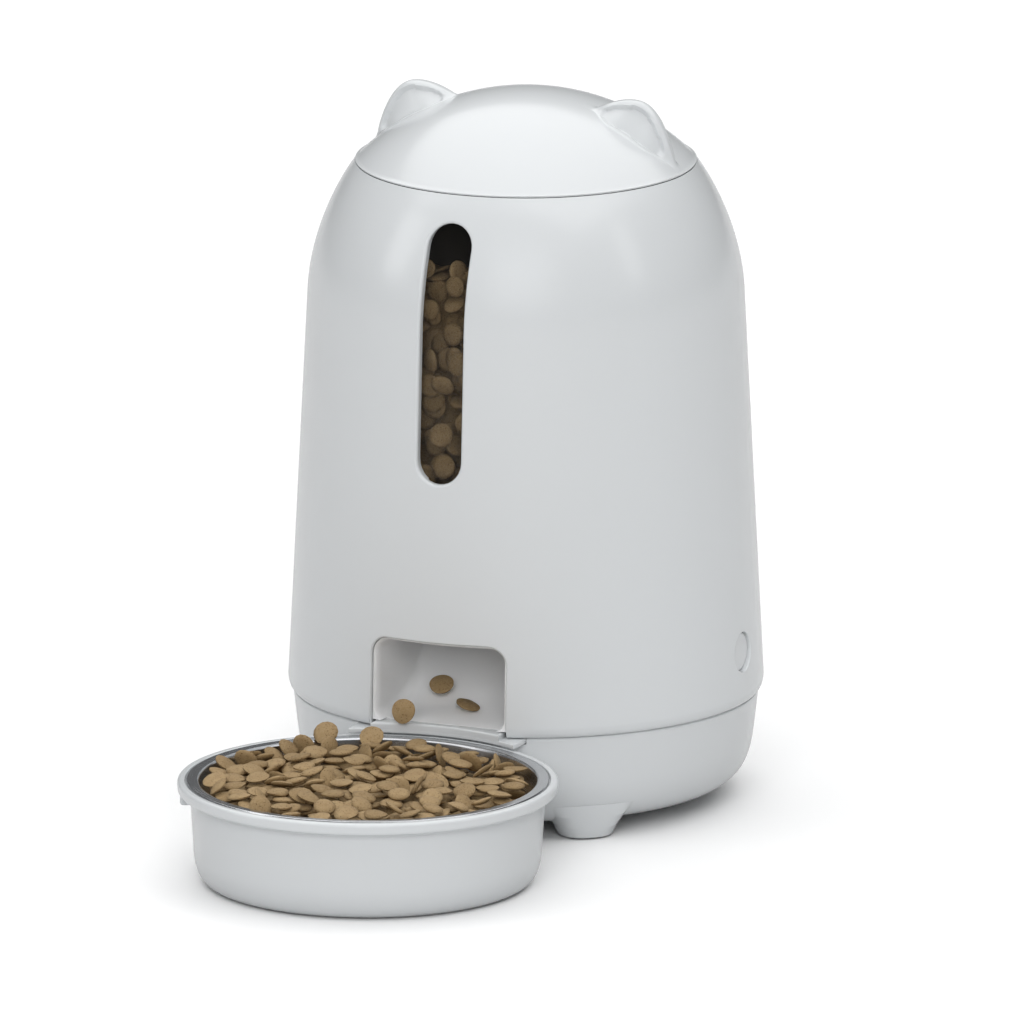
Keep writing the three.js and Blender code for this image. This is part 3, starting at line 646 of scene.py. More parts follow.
def piece(bm, name, body, slot, finish=None, stands_for=(), sharp=38, even=False):
    """Finishes a shape as a named piece that rides on a body of the frame."""
    bmesh.ops.transform(bm, matrix=IN_FRAME, verts=bm.verts[:])
    mesh = bpy.data.meshes.new(name)
    bm.to_mesh(mesh)
    bm.free()
    for face in mesh.polygons:
        face.use_smooth = True
    mesh.set_sharp_from_angle(angle=math.radians(sharp))
    mesh.materials.append(FINISH[finish or slot])
    obj = bpy.data.objects.new(name, mesh)
    bpy.context.scene.collection.objects.link(obj)
    if even:
        weighted = obj.modifiers.new("even_shading", "WEIGHTED_NORMAL")
        weighted.keep_sharp = True
        weighted.weight = 80
    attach(obj, body)
    if stands_for:
        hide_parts(*stands_for)
    return obj


# ------------------------------------------------------------------ outlines of the body
def shell_outer(steps=26):
    """The upper shell's outer line from its skirt to its neck."""
    skirt = bezier([(97.9, SEAM_Z - 0.15), (99.0, 47.0), (SHELL_R, 48.9), (SHELL_R, SKIRT_Z)], 7)
    points = [(SHOULDER_R, SHOULDER_Z), (91.2, 236), (82.5, 258), (NECK_R, NECK_Z)]
    side = [
        (SHELL_R - (SHELL_R - SHOULDER_R) * t, SKIRT_Z + (SHOULDER_Z - SKIRT_Z) * t)
        for t in np.linspace(0.04, 0.96, 20)
    ]
    return skirt + side + bezier(points, steps)


def shell_inner(steps=20):
    """The upper shell's inner line, a wall's thickness inside the outer one."""
    points = [(SHOULDER_R - WALL, 215.5), (88.7, 235), (80.25, 256.25), (69.55, 271.4)]
    side = [(97.5 - 8.2 * t, 52 + 163.5 * t) for t in np.linspace(0.03, 0.97, 12)]
    return [(95.9, SEAM_Z - 0.15), (97.2, 50.5)] + side + bezier(points, steps)


def base_outer(steps=16):
    """The base's outer line from under its heel to its top edge."""
    heel = [(76, FLOOR_Z), (88, FLOOR_Z + 1), (93.8, 13), (95.6, 27)]
    return bezier(heel, steps) + [(96.5, 34), (97.3, 41)]


def radius_of(line):
    """The outer radius at a height, from a line of (radius, height) points."""
    heights = np.array([z for _, z in line])
    radii = np.array([r for r, _ in line])
    order = np.argsort(heights)
    return lambda z: float(np.interp(z, heights[order], radii[order]))


SHELL_SIDE = radius_of(shell_outer(60))
BASE_SIDE = radius_of(base_outer(40))


def window_outline(grow, steps=14):
    """The window's upright obround as (across, height) points."""
    half = WINDOW_HALF + grow
    low, high = WINDOW_LOW + WINDOW_HALF, WINDOW_HIGH - WINDOW_HALF
    turns = np.linspace(0, math.pi, steps + 1)
    top = [(half * math.cos(a), high + half * math.sin(a)) for a in turns]
    bottom = [(-half * math.cos(a), low - half * math.sin(a)) for a in turns]
    left = [(-half, high + (low - high) * t) for t in np.linspace(0, 1, 22)[1:-1]]
    right = [(half, low + (high - low) * t) for t in np.linspace(0, 1, 22)[1:-1]]
    return top + left + bottom + right


def doorway_outline(grow):
    """The chute's doorway: straight sides, round top corners, open below the skirt."""
    half, top, corner = DOOR_HALF + grow, DOOR_TOP + grow, DOOR_CORNER + grow
    turns = np.linspace(0, math.pi / 2, 9)
    right = [
        (half - corner + corner * math.cos(a), top - corner + corner * math.sin(a))
        for a in turns
    ]
    left = [(-x, z) for x, z in reversed(right)]
    over = [(half - corner - (2 * half - 2 * corner) * t, top) for t in np.linspace(0, 1, 9)[1:-1]]
    down = [(-half, z) for z in np.linspace(top - corner, 30, 12)[1:]]
    up = [(half, z) for z in np.linspace(30, top - corner, 12)[:-1]]
    under = [(-half + 2 * half * t, 30) for t in np.linspace(0, 1, 9)[1:-1]]
    return right + over + left + down + under + up


def circle_outline(radius, height, steps=40):
    turns = np.linspace(0, 2 * math.pi, steps, endpoint=False)
    return lambda grow: [
        ((radius + grow) * math.cos(a), height + (radius + grow) * math.sin(a)) for a in turns
    ]


def lipped_cutter(outline, side, back, lip, run=None):
    """A cutter through a round wall at the front, its mouth opening in a quarter round."""
    steps = []
    for a in np.radians(np.linspace(0, 77, 8)):
        steps.append((lip * (1 - math.cos(a)), (run or lip) * (1 - math.sin(a))))
    rings = [[(across, -back, height) for across, height in outline(0.0)]]
    for grow, deep in steps:
        ring = []
        for across, height in outline(grow):
            radius = side(height) - deep
            ring.append((across, -math.sqrt(radius ** 2 - across ** 2), height))
        rings.append(ring)
    front = -(SHELL_R + 15)
    rings.append([(across, front, height) for across, height in outline(steps[-1][0])])
    return lofted(rings)


def upright(radius, low, high, centre=(0, 0), lip=0.0, steps=ROUND):
    """A round upright cutter, opened out by a lip at its top."""
    line = [(0, low), (radius, low)]
    if lip:
        for a in np.radians(np.linspace(0, 80, 7)):
            line.append((radius + lip * (1 - math.cos(a)), high - lip * (1 - math.sin(a))))
        line.append((line[-1][0], high + 8))
    else:
        line.append((radius, high))
    line.append((0, line[-1][1]))
    return spun(line, steps, centre)


# ------------------------------------------------------------------ upper shell and window
def upper_shell():
    inner = list(reversed(shell_inner()))
    rim = rounded([shell_outer()[-2] + (0,), (NECK_R, NECK_Z + 0.1, 0.5), (69.55, 271.4, 0.3),
                   inner[1] + (0,)], closed=False)
    line = shell_outer()[:-1] + rim[1:-1] + inner[1:]
    body = spun(line, 240)
    doorway = lipped_cutter(doorway_outline, SHELL_SIDE, 70, 1.0)
    window = lipped_cutter(window_outline, SHELL_SIDE, 60, 1.6)
    holes = [
        turn(lipped_cutter(circle_outline(BUTTON_R + 0.3, BUTTON_Z), SHELL_SIDE, 80, 0.6), side)
        for side in (90, -90)
    ]
    strip = front_strip(shell_strip_line(-0.6), shell_strip_line(COLLAR))
    collar = combined(strip, [straight_prism(window_outline(1.9), -60, -110)], "INTERSECT")
    shell = combined(combined(body, [collar], "UNION"), [doorway, window, *holes])
    return piece(shell, "tank_shell", "tank", "shell_white", stands_for=["upper_shell"],
                 sharp=34, even=True)


def between_walls(low, high, front, back):
    """A curved strip of wall at the front, from an inner to an outer line."""
    bm = bmesh.new()
    line = front + list(reversed(back))
    verts = [bm.verts.new((r, 0, z)) for r, z in line]
    edges = [bm.edges.new(pair) for pair in zip(verts, verts[1:] + verts[:1])]
    face = bmesh.ops.contextual_create(bm, geom=edges)["faces"]
    bmesh.ops.rotate(bm, verts=verts, cent=(0, 0, 0),
                     matrix=Matrix.Rotation(math.radians(low), 3, "Z"))
    bmesh.ops.spin(bm, geom=verts + edges + face, cent=(0, 0, 0), axis=(0, 0, 1), dvec=(0, 0, 0),
                   angle=math.radians(high - low), steps=24, use_duplicate=False)
    bmesh.ops.remove_doubles(bm, verts=bm.verts[:], dist=1e-4)
    bmesh.ops.recalc_face_normals(bm, faces=bm.faces[:])
    return bm


def front_strip(outer, inner):
    """The strip of wall or space that the window sits in."""
    return between_walls(-90 - STRIP_TURN, -90 + STRIP_TURN, outer, inner)


def shell_strip_line(gap):
    """The shell's inner line beside the window, moved inwards by a gap."""
    return [(r - gap, z) for r, z in shell_inner(30) if 146 < z < 268]


def straight_prism(outline, near, far):
    """A prism through the front wall with an upright outline."""
    rings = [[(x, y, z) for x, z in outline] for y in (near, far)]
    return lofted(rings)


def hopper_line(inset, steps=20):
    """The hopper's side from the wheel chamber to its mouth."""
    points = [
        (87.6 - inset, 214),
        (87 - inset, 232 - inset * 0.5),
        (79 - inset * 0.8, 252.5 - inset * 0.7),
        (68.9 - inset, 266.2 - inset * 0.5),
    ]
    foot = (76 - inset, 121.4)
    waist = (90.6 - inset, 150)
    return [foot, waist] + bezier(points, steps) + [(68.9 - inset, 271.6)]


def pane_strip(front_gap, back_gap):
    """The strip of space between shell and hopper, as outer and inner lines."""
    inner = [(r + back_gap, z) for r, z in hopper_line(0, 30) if 149 < z < 266]
    return front_strip(shell_strip_line(front_gap), inner)


def window():
    lens = combined(pane_strip(COLLAR + 0.05, 0.2), [straight_prism(window_outline(2), -60, -110)],
                    "INTERSECT")
    piece(lens, "window_pane", "tank", "window_smoke", stands_for=["window_lens"], sharp=40)
    collar = combined(straight_prism(window_outline(4.4), -60, -110),
                      [straight_prism(window_outline(2.3), -50, -120)])
    seal = combined(pane_strip(0.45, 0.45), [collar], "INTERSECT")
    piece(seal, "window_seal", "tank", "grey_rubber", stands_for=["window_gasket"], sharp=40)


def hopper():
    outer = hopper_line(0)
    inner = list(reversed(hopper_line(2.2)))
    body = spun(outer + inner, ROUND)
    cut = combined(body, [straight_prism(window_outline(2.2), -50, -110)])
    # The hopper's near-black colour is painted shade for the dark inside of the tank.
    piece(cut, "food_hopper", "tank", "hopper_charcoal", stands_for=["hopper"], sharp=34, even=True)


# ------------------------------------------------------------------ lid with ears
EAR_START, EAR_END = math.radians(17.4), math.radians(43.4)


def ear_outline():
    """The ear's upper edge seen from the front, as (angle, radius) about the dome's centre."""
    outer = bezier([(68.4, 274), (66, 286), (61, 300.5), (52, 302.4)], 40)
    inner = bezier([(52, 302.4), (45, 303.6), (38, 301), (30, 296.5)], 40)
    polar = [(math.atan2(x, z - DOME_Z), math.hypot(x, z - DOME_Z)) for x, z in outer + inner]
    polar.sort()
    return np.array(polar)


def ear_section(height, lean, stations):
    """One slice across the ear as (depth, height over the dome), from back to front.

    The back bulges a little and the top edge is round; ear() later presses the front into a
    soft dish between the border and the lip along the foot."""
    top = min(2.1, 0.25 + height * 0.42)
    back, front = 3.0 + 2.6 * lean, -(3.4 + 6.6 * lean)
    crest = (0.0, height)
    fillet = min(2.4, 0.35 + height * 0.6)
    corners = [
        (back + fillet + 1.6, -0.25, 0),
        (back + 0.2, 0.0, fillet),
        (crest[0] + top * 0.95, max(crest[1] - 0.1, 0.05), top),
        (crest[0] - top * 0.95, max(crest[1] - 0.1, 0.05), top),
        (front - 0.2, 0.0, fillet),
        (front - fillet - 1.6, -0.25, 0),
    ]
    line = np.array(rounded(corners, closed=False, steps=8))
    reach = np.r_[0, np.cumsum(np.hypot(*np.diff(line, axis=0).T))]
    even = np.linspace(0, reach[-1], stations)
    return np.c_[np.interp(even, reach, line[:, 0]), np.interp(even, reach, line[:, 1])]


def smooth_share(value, low, high):
    t = min(1.0, max(0.0, (value - low) / (high - low)))
    return t * t * (3 - 2 * t)


def ear():
    """The right ear: slices across it, lofted along the dome."""
    outline = ear_outline()
    rings = []
    for angle in np.linspace(EAR_START - 0.035, EAR_END + 0.01, 64):
        raw = float(np.interp(angle, outline[:, 0], outline[:, 1])) - DOME_R
        if angle < outline[0, 0] or angle > outline[-1, 0]:
            over = max(outline[0, 0] - angle, angle - outline[-1, 0])
            raw = -1.2 - over * 60
        height = 0.5 * (raw + math.hypot(raw, 1.1)) - 0.05
        lean = smooth_share(height, 0.0, 11.0)
        section = ear_section(height, lean, 72)
        ring = []
        front = [i for i, (y, q) in enumerate(section) if y < -0.8 and q < height - 0.4]
        length = len(front)
        for i, (y, q) in enumerate(section):
            if length > 8 and i in front and height > 3.6:
                along = (i - front[0]) / (length - 1)
                span = math.hypot(section[front[0]][0] - section[front[-1]][0],
                                  section[front[0]][1] - section[front[-1]][1])
                near, far = 1.5 / span, 1 - 5.0 / span
                if far > near:
                    rise = smooth_share(along, near, near + 1.1 / span)
                    fall = smooth_share(along, far, far + 1.2 / span)
                    depth = 2.0 * rise * (1 - fall) * smooth_share(height, 3.6, 6.5)
                    slope = math.atan2(height, 3.4 + 6.6 * lean)
                    y += depth * math.sin(slope)
                    q -= depth * math.cos(slope)
            radius = math.sqrt(DOME_R ** 2 - y ** 2) + q
            ring.append((radius * math.sin(angle), y, DOME_Z + radius * math.cos(angle)))
        inside = DOME_R - 1.3
        for y in (section[-1][0] * 0.6, section[0][0] * 0.6):
            ring.append((inside * math.sin(angle), y, DOME_Z + inside * math.cos(angle)))
        rings.append(ring)
    return lofted(rings)


def lid():
    low = NECK_Z + 0.16
    rim = math.asin((NECK_R - 0.2) / DOME_R)
    dome = [
        (DOME_R * math.sin(a), DOME_Z + DOME_R * math.cos(a)) for a in np.linspace(0, rim, 60)
    ]
    edge = rounded([dome[-2] + (0,), (NECK_R + 0.1, low + 0.6, 0.25), (71.35, low + 0.6, 0.1),
                    (71.35, low, 0.05), (64.6, low, 0.4),
                    (64.6, 262.4, 0.9), (62.4, 262.4, 0.9), (62.4, 270, 0)], closed=False)
    inner = [
        (98.5 * math.sin(a), DOME_Z + 98.5 * math.cos(a))
        for a in np.linspace(math.asin(62.4 / 98.5), 0, 40)
    ]
    body = spun(dome[:-1] + edge[1:-1] + inner, 240)
    ears = together(ear(), mirrored(ear()))
    piece(together(body, ears), "domed_lid", "lid", "shell_white", stands_for=["lid"], sharp=42)

    seal = rounded([(64.9, 264.4, 0.3), (66.1, 264.4, 0.5), (65.8, 265.8, 0.4), (66.4, 267.2, 0.5),
                    (65.8, 268.6, 0.4), (66.2, 270.4, 0.5), (64.9, 270.4, 0.3)])
    piece(spun(seal), "lid_gasket", "lid", "grey_rubber", stands_for=["lid_seal"])
    liner = rounded([(28.8, 263, 0.4), (62, 263, 0.6), (62, 265.2, 0.6), (28.8, 265.2, 0.4)])
    piece(spun(liner), "liner_plate", "lid", "liner_white", stands_for=["lid_liner"])
    tub = rounded(
        [(0, 275), (28.4, 275, 1.8), (28.4, 268, 0.3), (31, 268, 0.7), (31, 265.6, 0.5),
         (28.4, 265.6, 0.3), (28.4, 252.4, 0.4), (26.4, 252.4, 0.4), (26.4, 273, 1.2), (0, 273)],
        closed=False,
    )
    piece(spun(tub, 128), "drying_tub", "lid", "liner_white", stands_for=["desiccant_tub"])
    cover = rounded(
        [(0, 249.8), (28.4, 249.8, 1.0), (28.4, 252, 0.5), (26, 252, 0.2), (26, 256, 0.5),
         (24.4, 256, 0.5), (24.4, 251.8, 0.4), (0, 251.8)],
        closed=False,
    )
    slots = []
    for x in (-14, -7, 0, 7, 14):
        outline = rounded([(x - 1.2, -13, 1.19), (x + 1.2, -13, 1.19), (x + 1.2, 13, 1.19),
                           (x - 1.2, 13, 1.19)])
        slots.append(slab(outline, 245, 258))
    vented = combined(spun(cover, 128), slots)
    piece(vented, "vented_cover", "desiccant_cover", "liner_white",
          stands_for=["desiccant_cover"])


# ------------------------------------------------------------------ base
def foot_place(degrees):
    angle = math.radians(degrees)
    return FOOT_RADIUS * math.sin(angle), -FOOT_RADIUS * math.cos(angle)


def foot(place):
    """A round foot that swells into the base and stays inside its side wall."""
    line = rounded(
        [(10.0, 0.8, 0), (11.4, 0.8, 1.2), (13.6, 5.2, 2.5), (17.2, 10.4, 2.0), (21.5, 15.5, 0)],
        closed=False, steps=7,
    )
    rings = []
    for radius, height in line:
        limit = 90.2 + 0.16 * height
        ring = []
        for a in np.linspace(0, 2 * math.pi, 96, endpoint=False):
            x, y = place[0] + radius * math.cos(a), place[1] + radius * math.sin(a)
            out = math.hypot(x, y)
            held = 0.5 * (out + limit - math.hypot(out - limit, 1.6))
            ring.append((x * held / out, y * held / out, height))
        rings.append(ring)
    return lofted(rings)


def base_housing():
    top = rounded([(97.3, 41, 0), (98, DECK_Z, 1.1), (94, DECK_Z, 0), (94, 44, 0)], closed=False)
    outer = [(0, FLOOR_Z)] + base_outer() + top[1:-1]
    solid = spun(outer + [(0, DECK_Z)], 240)
    grown = combined(solid, [foot(foot_place(a)) for a in FOOT_ANGLES], "UNION")
    pads = [upright(8.9, -1, 2.3, foot_place(a), steps=48) for a in FOOT_ANGLES]
    pocket = upright(POCKET_R, -1, DECK_Z, (0, BOWL_Y), lip=0.9)
    rear = [
        turn(lipped_cutter(circle_outline(5.4, REAR_Z), BASE_SIDE, 84, 0.6), 180),
        turn(shift(lipped_cutter(circle_outline(5.0, 28), BASE_SIDE, 81, 0.7), (22, 0, 0)), 180),
        turn(shift(lipped_cutter(circle_outline(2.1, REAR_Z, 24), BASE_SIDE, 81, 0.3), (-15, 0, 0)), 180),
    ]
    ledge_room = cuboid((-LEDGE_HALF - 0.3, -120, 44.1), (LEDGE_HALF + 0.3, -70, 60))
    door_room = cuboid((-33.7, -41, -1), (33.7, 68, FLOOR_Z + 2.8))
    body = combined(grown, [pocket, ledge_room, door_room, *pads, *rear])
    hollow = [(0, FLOOR_Z + WALL)]
    hollow += bezier([(74.5, 8.5), (86, 9.5), (91.3, 14.5), (93.1, 27)], 10)
    hollow += [(94.6, 40), (95.4, 47.5), (0, 47.5)]
    kept = combined(spun(hollow, 160), [
        upright(POCKET_R + WALL, -5, 60, (0, BOWL_Y), steps=128),
        cuboid((-35.3, -41, 5), (-33.7, 68, 40)),
        cuboid((33.7, -41, 5), (35.3, 68, 40)),
        *[upright(4.5, 5, 43.4, place, steps=24) for place in DECK_SCREWS],
        *[upright(2.4, 5, 21.7, (x, y), steps=16) for x in (44, 80) for y in (-26, 26)],
    ])
    piece(combined(body, [kept]), "base_shell", "base", "shell_white",
          stands_for=["base_housing"], sharp=34, even=True)


DECK_SCREWS = ((-70, -45), (70, -45), (-70, 45), (70, 45))


def base_deck():
    disc = rounded([(0, 43.8), (94.8, 43.8, 0.4), (94.8, DECK_Z, 0.5), (0, DECK_Z)], closed=False)
    deck = combined(spun(disc), [
        upright(POCKET_R + WALL + 0.4, 30, 60, (0, BOWL_Y), steps=128),
        cuboid((-LEDGE_HALF - 0.3, -120, 40), (LEDGE_HALF + 0.3, -69.6, 50)),
        *[upright(1.9, 40, 50, place, steps=24) for place in DECK_SCREWS],
    ])
    piece(deck, "deck_plate", "base", "liner_white", stands_for=["base_deck"], sharp=34, even=True)


def dock_ledge():
    """The lip under the chute, hollowed along the bowl's rim."""
    front, back, half = -99.5, -70.0, LEDGE_HALF
    reach = STEEL_R + 0.7
    side_y = BOWL_Y + math.sqrt(reach ** 2 - half ** 2)
    arc = []
    for x in np.linspace(half - 0.5, -half + 0.5, 64):
        arc.append((x, BOWL_Y + math.sqrt(reach ** 2 - x ** 2)))
    side_y = max(side_y, front) + 1.2
    outline = [(-half, back), (half, back), (half, side_y)] + arc + [(-half, side_y)]
    shelf = slab(outline, 44.5, DECK_Z, 0.55)
    tongue_arc = []
    for x in np.linspace(29.1, -29.1, 48):
        tongue_arc.append((x, BOWL_Y + math.sqrt(reach ** 2 - x ** 2) + 0.02))
    tongue = slab([(-29.1, -88.6), (29.1, -88.6)] + tongue_arc, 44.9, 49.0, 0.9, 4)
    piece(together(shelf, tongue), "dock_lip", "base", "shell_white", stands_for=["dock_ledge"],
          sharp=40)


def pan_screw(place, head, tip):
    """A pan-head screw with a crossed recess, from the top of its head to its tip."""
    way = 1 if head > tip else -1
    under = head - way * 1.8
    line = [(0, head)] + bezier([(0.6, head), (2.2, head), (3, head - way * 0.6), (3, under)], 7)
    line += [(1.4, under)]
    turns = int(abs(under - tip) / 0.8)
    for k in range(turns):
        line += [(1.4, under - way * (0.8 * k + 0.3)), (1.12, under - way * (0.8 * k + 0.7))]
    line += [(1.0, tip + way * 0.4), (0, tip)]
    screw = spun(line, 24, place)
    x, y = place
    recess = head - way * 1.1
    low, high = min(head, recess), max(head, recess) + 0.2
    cross = [
        cuboid((x - across, y - along, low), (x + across, y + along, high))
        for across, along in ((1.6, 0.3), (0.3, 1.6))
    ]
    if way < 0:
        cross = [shift(c, (0, 0, -0.2)) for c in cross]
    return combined(screw, cross)


def fasteners_and_pads():
    for i, place in enumerate(DECK_SCREWS):
        piece(pan_screw(place, DECK_Z + 2.1, 33), f"deck_fixing_{i + 1}", "base", "zinc_plate",
              stands_for=[f"deck_screw_{i + 1}"], sharp=30)
    for i, place in enumerate(BATTERY_SCREWS):
        piece(pan_screw(place, FLOOR_Z - 1.9, FLOOR_Z + 2.6), f"door_fixing_{i + 1}", "base",
              "zinc_plate", stands_for=[f"door_screw_{i + 1}"], sharp=30)
    for i, angle in enumerate(FOOT_ANGLES):
        pad = rounded([(0, 0), (8.6, 0, 0.6), (8.6, 2.1, 0.3), (0, 2.1)], closed=False)
        rings = [(0, 0.5), (3.2, 0.5), (3.6, 0), (5.4, 0), (5.8, 0.5), (6.6, 0.5), (7.0, 0)]
        piece(spun(rings + pad[1:], 64, foot_place(angle)), f"rubber_foot_{i + 1}", "base",
              "grey_rubber", stands_for=[f"foot_pad_{i + 1}"], sharp=30)


def battery_door():
    outline = rounded([(-33.3, -40.6, 3), (33.3, -40.6, 3), (33.3, 67.6, 3), (-33.3, 67.6, 3)])
    plate = slab(outline, FLOOR_Z + 0.1, FLOOR_Z + 2.3, 0.5)
    grips = []
    for k in range(6):
        y = 6 + k * 3.2
        bar = rounded([(-11, y, 0.7), (11, y, 0.7), (11, y + 1.5, 0.7), (-11, y + 1.5, 0.7)])
        grips.append(slab(bar, 0, FLOOR_Z + 0.8))
    holes = [upright(1.9, 0, 12, place, steps=24) for place in BATTERY_SCREWS]
    piece(combined(plate, grips + holes), "battery_lid", "base", "shell_white",
          stands_for=["battery_door"], sharp=34)


def rear_fittings():
    """The feed button, power socket and lamp in the back of the base."""
    cap = rounded(
        [(0, 96.9), (3.6, 97.2, 1.2), (5, 97.2, 0.8), (5, 91.2, 0.2), (6.6, 91.2, 0.4),
         (6.6, 89.2, 0.4), (0, 89.2)],
        closed=False,
    )
    piece(spun(cap, 64, along=((0, 0, REAR_Z), (0, 1, 0))), "feed_key", "feed_button", "liner_white",
          stands_for=["feed_button"], sharp=34)
    jack = rounded(
        [(0, 82.9), (4.6, 82.9, 0.3), (4.6, 94.6, 0.5), (3.2, 94.6, 0.4), (3.0, 86.2, 0.2),
         (1.0, 86.2, 0.2), (1.0, 93.0, 0.5), (0, 93.0)],
        closed=False,
    )
    piece(spun(jack, 56, along=((-22, 0, 28), (0, 1, 0))), "power_socket", "base",
          "black_plastic", stands_for=["power_jack"], sharp=34)
    lamp = [(0, 82.9), (1.8, 82.9), (1.8, 94.4)]
    lamp += [(1.8 * math.cos(a), 94.4 + 0.8 * math.sin(a)) for a in np.linspace(0.2, 1.57, 7)]
    lamp[-1] = (0, lamp[-1][1])
    piece(spun(lamp, 32, along=((15, 0, REAR_Z), (0, 1, 0))), "charge_lamp", "base", "lamp_green",
          stands_for=["status_lamp"], sharp=50)


# ------------------------------------------------------------------ chute and drive cover
def slide_line(steps=40):
    """The slide's profile as (depth, height) points, steep at the top and easing forwards."""
    return bezier([(-37, 86.8), (-42, 60), (-56, 50.2), (-89, CHUTE_FLOOR)], steps)


def passage(stations, half, top, corner=0.0, fillet=5.0):
    """The air inside the chute: a floor that curls up into the cheeks, and a flat top."""
    rings = []
    for depth, floor in stations:
        ring = []
        for a in np.linspace(-math.pi / 2, -math.pi, 8):
            ring.append((-half + fillet + fillet * math.cos(a), floor + fillet + fillet * math.sin(a)))
        room = max(corner, 0.01)
        for a in np.linspace(math.pi, math.pi / 2, 8):
            ring.append((-half + room + room * math.cos(a), top - room + room * math.sin(a)))
        ring += [(-x, z) for x, z in reversed(ring)]
        rings.append([(x, depth, z) for x, z in ring])
    return lofted(rings)


def mouth_outline(grow):
    """The chute's own mouth just inside the doorway, with points along its long sides."""
    half, top = MOUTH_HALF + grow, MOUTH_TOP + grow
    corners = [(-half, 48.9, 5), (half, 48.9, 5), (half, top, 6.6), (-half, top, 6.6)]
    line = rounded(corners, steps=5)
    full = []
    for i, point in enumerate(line):
        full.append(point)
        if i % 6 == 5:
            after = line[(i + 1) % len(line)]
            for t in np.linspace(0, 1, 12)[1:-1]:
                full.append((point[0] + (after[0] - point[0]) * t, point[1] + (after[1] - point[1]) * t))
    return full


def chute():
    block = cuboid((-30.8, -96, 47.1), (30.8, -33, 86.8), 0.5)
    kept = combined(block, [spun([(0, 30), (94.6, 30), (94.6, 95), (0, 95)], 240)], "INTERSECT")
    mouth = combined(
        straight_prism(doorway_outline(-0.25), -70, -120),
        [spun(rounded([(88, 47.1, 0), (98.0, 47.1, 0.5), (96.6, 86, 0.5), (88, 86, 0)]), 360)],
        "INTERSECT",
    )
    kept = combined(kept, [mouth], "UNION")
    slide = slide_line()
    behind = [(y, z) for y, z in slide if y > -69]
    front = [(y, z) for y, z in slide if y < -64.5]
    front[-1] = (-89, CHUTE_FLOOR)
    front.append((-100, CHUTE_FLOOR))
    open_top = passage(behind, CHUTE_HALF, 104)
    roofed = passage(front, CHUTE_HALF, CHUTE_TOP, corner=6.6)
    lip_room = cuboid((-40, -100, 40), (40, -88.2, 49.4))
    flare = lipped_cutter(mouth_outline, lambda z: 98.0 - (z - 47.1) * 0.036, 88, 1.5, 7.0)
    made = combined(kept, [open_top, roofed, flare, lip_room])
    # The chute keeps the shell's white slot but wears the paler copy, which paints light into its
    # passage.
    piece(made, "slide_chute", "base", "shell_white", "chute_white_painted_light",
          stands_for=["chute"], sharp=32, even=True)


def obround_plan(r, reach, steps=24):
    low = [(r * math.cos(a), r * math.sin(a)) for a in np.linspace(math.pi, 2 * math.pi, steps)]
    high = [(r * math.cos(a), reach + r * math.sin(a)) for a in np.linspace(0, math.pi, steps)]
    return low + high


def drive_cover():
    outer = slab(obround_plan(28.4, 50), DECK_Z + 0.4, 86, 0.0)
    top = [e for e in outer.edges if min(v.co.z for v in e.verts) > 85.9]
    soften(outer, top, 2.0, 5)
    inner = slab(obround_plan(26.2, 50), 40, 83.6)
    bore = upright(8.9, 80, 86, lip=0.5, steps=64)
    piece(combined(outer, [inner, bore]), "drive_cover", "base", "liner_white",
          stands_for=["drive_housing"], sharp=32, even=True)
    bush = rounded([(4.4, 83.6, 0.3), (8.6, 83.6, 0.3), (8.6, 87, 0.8), (4.4, 87, 0.5)])
    piece(spun(bush, 64), "drive_bush", "base", "black_plastic", stands_for=["shaft_bush"])


# ------------------------------------------------------------------ release buttons
def release_button(side, name):
    face = [(0, 96.9), (3, 96.98), (5.6, 97.2)]
    rim = rounded([(5.6, 97.2, 0), (7.0, 97.5, 0.8), (8.1, 97.5, 0.7), (8.1, 95, 0.2), (10.2, 95, 0.5),
                   (10.2, 92.8, 0.4), (0, 92.8)], closed=False)
    cap = spun(face + rim[1:], 72, along=((0, 0, BUTTON_Z), (1, 0, 0)))
    arm = cuboid((90.6, -3, 50.4), (92.9, 3, 73.5), 0.4)
    hook = cuboid((89.4, -3, 50.4), (91, 3, 53), 0.4)
    whole = together(cap, arm, hook)
    if side < 0:
        mirrored(whole)
    piece(whole, f"release_key_{name}", f"release_{name}", "shell_white",
          stands_for=[f"release_button_{name}"], sharp=36)


def release_spring(side, name):
    """A coil of steel wire behind the button."""
    wire, turns, steps = 0.32, 4, 96
    start, length, coil_r = 86.1, 3.8, 4.7
    rings = []
    for i in range(steps + 1):
        t = i / steps
        angle = 2 * math.pi * turns * t
        out = Vector((0, math.cos(angle), math.sin(angle)))
        centre = Vector((start + length * t, 0, BUTTON_Z)) + out * coil_r
        along = Vector((length / (2 * math.pi * turns * coil_r), -math.sin(angle), math.cos(angle)))
        along.normalize()
        third = along.cross(out)
        rings.append([
            centre + (out * math.cos(a) + third * math.sin(a)) * wire
            for a in np.linspace(0, 2 * math.pi, 8, endpoint=False)
        ])
    coil = lofted(rings)
    if side < 0:
        mirrored(coil)
    spring = piece(coil, f"return_spring_{name}", "tank", "bright_steel", "shaft_steel",
                   stands_for=[f"release_spring_{name}"], sharp=60)
    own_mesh(spring)


